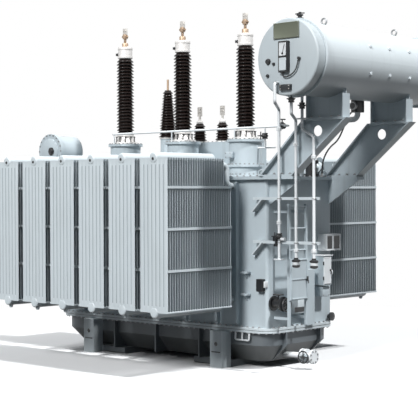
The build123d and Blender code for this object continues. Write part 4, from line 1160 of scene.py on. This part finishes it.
def make_pipe_joints():
    """The clamps that hold the pipes, the unions along them and the bar to the saddle."""
    clamps = [hoop(0.028, 0.006, (x, PIPE_Y + 0.002, z), sides=6) for x in PIPE_X for z in (1.843, 2.455)]
    finish(join(clamps), "pipe_clamps", "dark_fitting", "bolt_steel")
    outline = [
        (0.02, -0.024), (0.034, -0.024), (0.036, -0.02), (0.036, -0.004), (0.03, 0), (0.036, 0.004),
        (0.036, 0.02), (0.034, 0.024), (0.02, 0.024),
    ]
    places = [(x, PIPE_Y, z) for x, z in zip(PIPE_X * 2, (3.42, 3.2, 3.02, 2.12, 1.74, 1.74))]
    finish(join([turned(outline, place, sides=6) for place in places]), "pipe_unions", "pipe_paint")
    bar = block((2.8, -0.9, 3.541), (3.02, -0.85, 3.559), 0.003)
    finish(bar, "saddle_pipe_bar", "pipe_paint")


def make_vent_fittings():
    """The valves and the branches of the vent pipe over the turrets."""
    finish(pipe_valve((2.205, VENT_Y, VENT_Z), X_AXIS, Z_AXIS), "vent_valve", "dark_fitting")
    link = bent_pipe([(2.22, VENT_Y, VENT_Z), (2.33, VENT_Y, VENT_Z), (PIPE_X[0], PIPE_Y, VENT_Z)], 0.013)
    finish(link, "vent_link", "pipe_paint")
    drop = [(BRANCH_X, VENT_Y, VENT_Z), (BRANCH_X, VENT_Y, 3.2), (BRANCH_X, HV_Y, 3.2), (1.53, HV_Y, 3.2)]
    finish(bent_pipe(drop, 0.012, 0.05), "vent_branch", "pipe_paint")
    finish(pipe_valve((BRANCH_X, VENT_Y, 3.36), Z_AXIS, TO_NEAR), "vent_branch_valve", "dark_fitting")


# Gas relay


def make_relay_fittings():
    """The relay's window, its box and the conduit that runs down to the cover."""
    x, y, z = RELAY_WINDOW
    rim = turned([(0, 0), (0.056, 0), (0.06, 0.004), (0.06, 0.04), (0, 0.04)], RELAY_WINDOW, Y_AXIS, 24)
    finish(rim, "relay_window_ring", "head_metal", "bolt_steel")
    outline = [(0, 0), (0.04, 0), (0.044, 0.004), (0.044, 0.01), (0, 0.01)]
    finish(turned(outline, (x, y - 0.006, z), Y_AXIS, 24), "relay_window", "dark_fitting")
    box = block((2.895, 0.3, 3.85), (2.99, 0.38, 3.892), 0.006)
    finish(box, "relay_box", "cabinet_paint")
    y, foot_x = 0.45, 2.236
    conduit = bent_tube([
        (2.9, 0.4, 3.74), (2.76, 0.43, 3.7), (2.665, y, 3.537), (2.54, y, 3.3), (2.386, y, 3.209),
        (2.28, y, 3.069), (2.24, y, 2.928), (foot_x, y, COVER_TOP - 0.005),
    ], 0.012)
    finish(conduit, "relay_conduit", "dark_fitting")
    outline = [(0, 0), (0.026, 0), (0.026, 0.02), (0.018, 0.026), (0.018, 0.05), (0, 0.05)]
    gland = turned(outline, (foot_x, y, COVER_TOP - 0.002), sides=6)
    finish(gland, "conduit_gland", "dark_fitting", "bolt_steel")
    bolts("foot_valve_bolts", 0.012, ring(0.094, 8, (2.12, 0.34, 3.01)))


# End wall

GUARD_Y = (-0.58, -0.204)
GUARD_Z = (1.02, 1.59)
GUARD_BACK = 2.47
GUARD_BAR = 0.018
DOOR_FRONT = 2.378
HANDLE_Y = 0.462
JUNCTION_BOX_FRONT = 2.33


def make_guard():
    """The frame and the latch on the guard that closes the ladder."""
    near, far = GUARD_Y
    low, high = GUARD_Z
    bars = []
    for y in (near, far - GUARD_BAR):
        bars.append(block((GUARD_BACK, y, low), (GUARD_BACK + 0.012, y + GUARD_BAR, high), 0.002))
    for z, depth in ((low + 0.001, 0.011), (high - 0.017, 0.011), (1.296, 0.01)):
        back = GUARD_BACK - 0.001
        bars.append(block((back, near + 0.01, z), (back + depth, far - 0.01, z + 0.016), 0.002))
    finish(join(bars), "guard_frame", "tank_paint")
    case = block((2.482, -0.24, 1.27), (2.5, -0.21, 1.34), 0.004)
    lever = bent_tube([(2.492, -0.225, 1.3), (2.51, -0.225, 1.29), (2.51, -0.225, 1.24)], 0.006)
    finish(join([case, lever]), "guard_latch", "dark_fitting")


def make_cabinet():
    """The control cabinet's door, roof, hinges, handle and side stub."""
    door = block((DOOR_FRONT - 0.012, 0.312, 1.185), (DOOR_FRONT, 0.488, 1.588), 0.003)
    finish(press(door, X_AXIS, 0.014, sink=-0.003), "cabinet_door", "cabinet_paint")
    roof = block((TANK_END, 0.288, 1.6), (2.392, 0.512, 1.616), 0.004)
    finish(roof, "cabinet_roof", "cabinet_paint")
    outline = [(0, 0), (0.01, 0), (0.01, 0.05), (0, 0.05)]
    hinges = [turned(outline, (2.374, 0.306, z), sides=10) for z in (1.25, 1.47)]
    boss = disc(0.018, 0.01, (DOOR_FRONT + 0.001, HANDLE_Y, 1.39), X_AXIS, 0.002, 14)
    lever = bent_tube([(2.392, HANDLE_Y, 1.4), (2.398, HANDLE_Y, 1.38), (2.392, HANDLE_Y, 1.33)], 0.006)
    finish(join([*hinges, join([boss, lever])]), "cabinet_hinges_and_handle", "dark_fitting")
    outline = [(0, 0), (0.03, 0), (0.03, 0.06), (0.048, 0.062), (0.048, 0.084), (0, 0.084)]
    finish(turned(outline, (2.29, 0.5, 1.35), Y_AXIS, 20), "cabinet_stub", "cabinet_paint")


def make_wall_boxes():
    """The junction box and the slotted duct box on the end wall, and the gauge housing's two windows."""
    box = block((TANK_END, 0.34, 1.000), (JUNCTION_BOX_FRONT, 0.51, 1.15), 0.008)
    finish(box, "junction_box", "tank_paint")
    corners = [(JUNCTION_BOX_FRONT, y, z) for y in (0.36, 0.49) for z in (1.02, 1.13)]
    bolts("junction_box_screws", 0.007, corners, X_AXIS)
    shelf = block((TANK_END - 0.01, -0.34, 0.79), (2.284, 0.03, 1.009), 0.006)
    finish(shelf, "duct_box", "tank_paint", "radiator_paint")
    slot = block((2.276, -0.26, 0.808), (2.288, 0.01, 0.88), 0.003)
    finish(press(slot, X_AXIS, 0.008, depth=-0.003), "duct_box_slot", "dark_fitting")
    housing = block((TANK_END, 0.42, 1.675), (2.344, 0.77, 1.92), 0.006)
    press(housing, X_AXIS, 0.016, sink=0.006)
    finish(housing, "gauge_housing", "cabinet_paint", stands_for=("gauge_frame",))
    for name, low, high in (("left", 0.446, 0.56), ("right", 0.606, 0.744)):
        pane = block((2.33, low, 1.702), (2.342, high, 1.892), 0.004)
        finish(press(pane, X_AXIS, 0.008, depth=-0.003), f"gauge_window_{name}", "dark_fitting")


def make_end_valves():
    """The filter valve's and the drain valve's wheels and bonnets, and the sampling valve."""
    x, y, z = FILTER_VALVE
    wheel = repeat(spoked_wheel(0.105, 0.01, 5), [upright_to((x + 0.047, y, z), X_AXIS)])
    finish(wheel, "filter_valve_wheel", "dark_fitting")
    outline = [
        (0, 0), (0.06, 0), (0.06, 0.016), (0.03, 0.02), (0.018, 0.03), (0.012, 0.034), (0.012, 0.06),
        (0, 0.06),
    ]
    bonnet = turned(outline, FILTER_VALVE, X_AXIS, 18)
    finish(bonnet, "filter_valve_bonnet", "dark_fitting", "bolt_steel")
    bolts("filter_valve_bolts", 0.01, ring(0.046, 4, (x + 0.016, y, z), X_AXIS), X_AXIS)
    stem_x = 2.5
    wheel = repeat(spoked_wheel(0.095, 0.01, 4), [upright_to((stem_x, DRAIN_Y - 0.125, DRAIN_Z), TO_NEAR)])
    finish(wheel, "drain_wheel", "dark_fitting")
    outline = [
        (0, 0), (0.034, 0), (0.034, 0.09), (0.046, 0.092), (0.046, 0.106), (0.012, 0.11), (0.012, 0.13),
        (0, 0.13),
    ]
    finish(turned(outline, (stem_x, DRAIN_Y, DRAIN_Z), TO_NEAR, 18), "drain_bonnet", "tank_paint")
    bolts("drain_bolts", 0.012, ring(0.084, 8, (2.604, DRAIN_Y, DRAIN_Z), X_AXIS), X_AXIS)
    outline = [
        (0, 0), (0.03, 0), (0.03, 0.04), (0.06, 0.044), (0.064, 0.05), (0.064, 0.08), (0.04, 0.09),
        (0.02, 0.094), (0, 0.094),
    ]
    valve = turned(outline, (TANK_END, 0.67, 0.68), X_AXIS, 20)
    finish(valve, "end_sampling_valve", "dark_fitting")


# Near side wall, base and turrets

BOX_Y = (-0.826, -0.745)
STEP_REACH = 0.085
STEP_X = (1.735, 1.874)
LOOP_X = (1.615, 1.745, 1.875)
LOOP_TOP = 0.536
LOOP_BOTTOM = 0.418
TURRET_BOX_FRONT = -0.52
EYE_X = (-2.05, 2.05)
EYE_Y = 0.72


def make_side_box():
    """The dark terminal box on the near wall, with its bracket."""
    box = block((2.03, BOX_Y[0], 1.13), (2.14, BOX_Y[1], 1.31), 0.008)
    finish(press(box, TO_NEAR, 0.01, sink=0.004), "side_terminal_box", "dark_fitting")
    bracket = block((2.15, -0.8, 1.19), (2.172, -0.7, 1.28), 0.004)
    finish(bracket, "side_box_bracket", "pipe_paint")


def make_steps_and_loops():
    """The steps on both side walls, each with a gusset cut to a slope, and the tie-down loops."""
    steps = []
    for side in SIDES:
        low, high = sorted((side * (TANK_SIDE + STEP_REACH), side * TANK_SIDE))
        for z in (1.376, 1.062):
            steps.append(block((STEP_X[0], low, z), (STEP_X[1], high, z + 0.03), 0.004))
            gusset = block((1.796, low, z - 0.075), (1.812, high, z), 0)
            open_piece(gusset)
            pick(gusset, "VERT", lambda point: point.co.z < z - 0.05 and abs(point.co.y) > 0.8)
            bpy.ops.transform.translate(value=(0, -side * 0.07, 0))
            close_piece()
            steps.append(gusset)
    finish(join(steps), "side_steps", "tank_paint")
    left, middle, right = LOOP_X
    upper = [(side * 0.79, LOOP_TOP) for side in SIDES]
    lower = [(side * 0.8, LOOP_BOTTOM) for side in SIDES]
    loops = [
        bent_tube([(left, *top), (left, *foot), (right, *foot), (right, *top)], 0.014, order=2, sides=2)
        for top, foot in zip(upper, lower)
    ]
    for top, foot in zip(upper, lower):
        loops.append(bent_tube([(middle, *top), (middle, *foot)], 0.012, order=2, sides=2))
    finish(join(loops), "tie_down_loops", "pipe_paint")


def make_bracket_marks():
    """The dark hole and slot in each jacking bracket's face."""
    spots = [(x, side) for side in SIDES for x in BRACKET_X]
    holes = [
        disc(0.03, 0.008, (x, side * (BRACKET_FACE - 0.005), 0.343), (0, side, 0), 0.002, 20)
        for x, side in spots
    ]
    for x, side in spots:
        face = side * BRACKET_FACE
        holes.append(block((x - 0.085, face - 0.003, 0.22), (x + 0.085, face + 0.003, 0.236), 0.002))
    finish(join(holes), "jacking_holes", "dark_fitting")


def make_turret_fittings():
    """The small box on each turret, and the cover and vent on the drum at the other end."""
    boxes = [block((x - 0.126, TURRET_BOX_FRONT, 3.05), (x - 0.006, -0.42, 3.14), 0.006) for x in HV_X]
    finish(join(boxes), "turret_boxes", "tank_paint")
    corners = [
        (x + aside, TURRET_BOX_FRONT, z) for x in HV_X for aside in (-0.112, -0.02) for z in (3.064, 3.126)
    ]
    bolts("turret_box_screws", 0.007, corners, TO_NEAR)
    outline = [(0, 0), (0.2, 0), (0.206, 0.004), (0.206, 0.016), (0, 0.016)]
    cover = turned(outline, (DRUM[0], DRUM[1] - 0.014, DRUM[2]), Y_AXIS, 40)
    finish(cover, "drum_cover", "head_metal", "tank_paint")
    outline = [
        (0, 0), (0.04, 0), (0.046, 0.006), (0.046, 0.02), (0.066, 0.024), (0.066, 0.04), (0, 0.04),
    ]
    finish(turned(outline, (-2.48, DRUM[1] - 0.05, 3.235), Y_AXIS, 24), "drum_vent", "dark_fitting")


def make_cover_fittings():
    """The lifting eyes at the cover's corners, and the bolts round its edge."""
    lugs = []
    for x in EYE_X:
        for y in (-EYE_Y, EYE_Y):
            lugs.append(hoop(0.048, 0.016, (x, y, 2.812), upright=True))
            lugs.append(block((x - 0.05, y - 0.022, 2.766), (x + 0.05, y + 0.022, 2.784), 0.004))
    finish(join(lugs), "cover_lifting_eyes", "tank_paint")
    bolts("cover_bolts", 0.015, round_rim(0.1, 0.125, COVER_TOP))


# Finish of each CAD piece that stays, where it isn't its slot's own
LOOKS = {
    # The lower tank and the base beams take the dark painted shade
    "lower_tank": "painted_pan_shade",
    "base_beams": "painted_pan_shade",
    "lv_terminals": "tinned_metal",
    "ladder_guard": "tank_paint",
    "ladder": "tank_paint",
    "jacking_brackets": "radiator_paint",
    "tank_flange": "radiator_paint",
    "pipe_brackets": "radiator_paint",
    "control_cabinet": "tank_paint",
}


def finish_cad_pieces():
    """Give every CAD piece its finish; nothing else of it is touched."""
    for part in frame["record"]["subparts"]:
        piece = nodes[part["node"]]
        piece.data.materials.clear()
        piece.data.materials.append(finishes[LOOKS.get(part["node"], part["material_slot"])])


make_camera()
make_world()
make_floor()
make_light("key", 3.8, azimuth=94, elevation=58, angle=4)
make_light("fill", 3.3, azimuth=8, elevation=34, angle=20)
weathering = make_weathering()
finishes = make_finishes()
finish_cad_pieces()
make_radiators()
make_hv_bushings()
make_lv_bushings()
make_neutral_bushing()
make_tank_fittings()
make_blank_plate()
make_conservator_ends()
make_conservator_top()
make_end_gauge()
make_pipe_runs()
make_sampling_point()
make_breathers()
make_pipe_joints()
make_vent_fittings()
make_relay_fittings()
make_guard()
make_cabinet()
make_wall_boxes()
make_end_valves()
make_side_box()
make_steps_and_loops()
make_bracket_marks()
make_turret_fittings()
make_cover_fittings()

bpy.context.scene.view_settings.view_transform = "Standard"
bpy.context.view_layer.update()
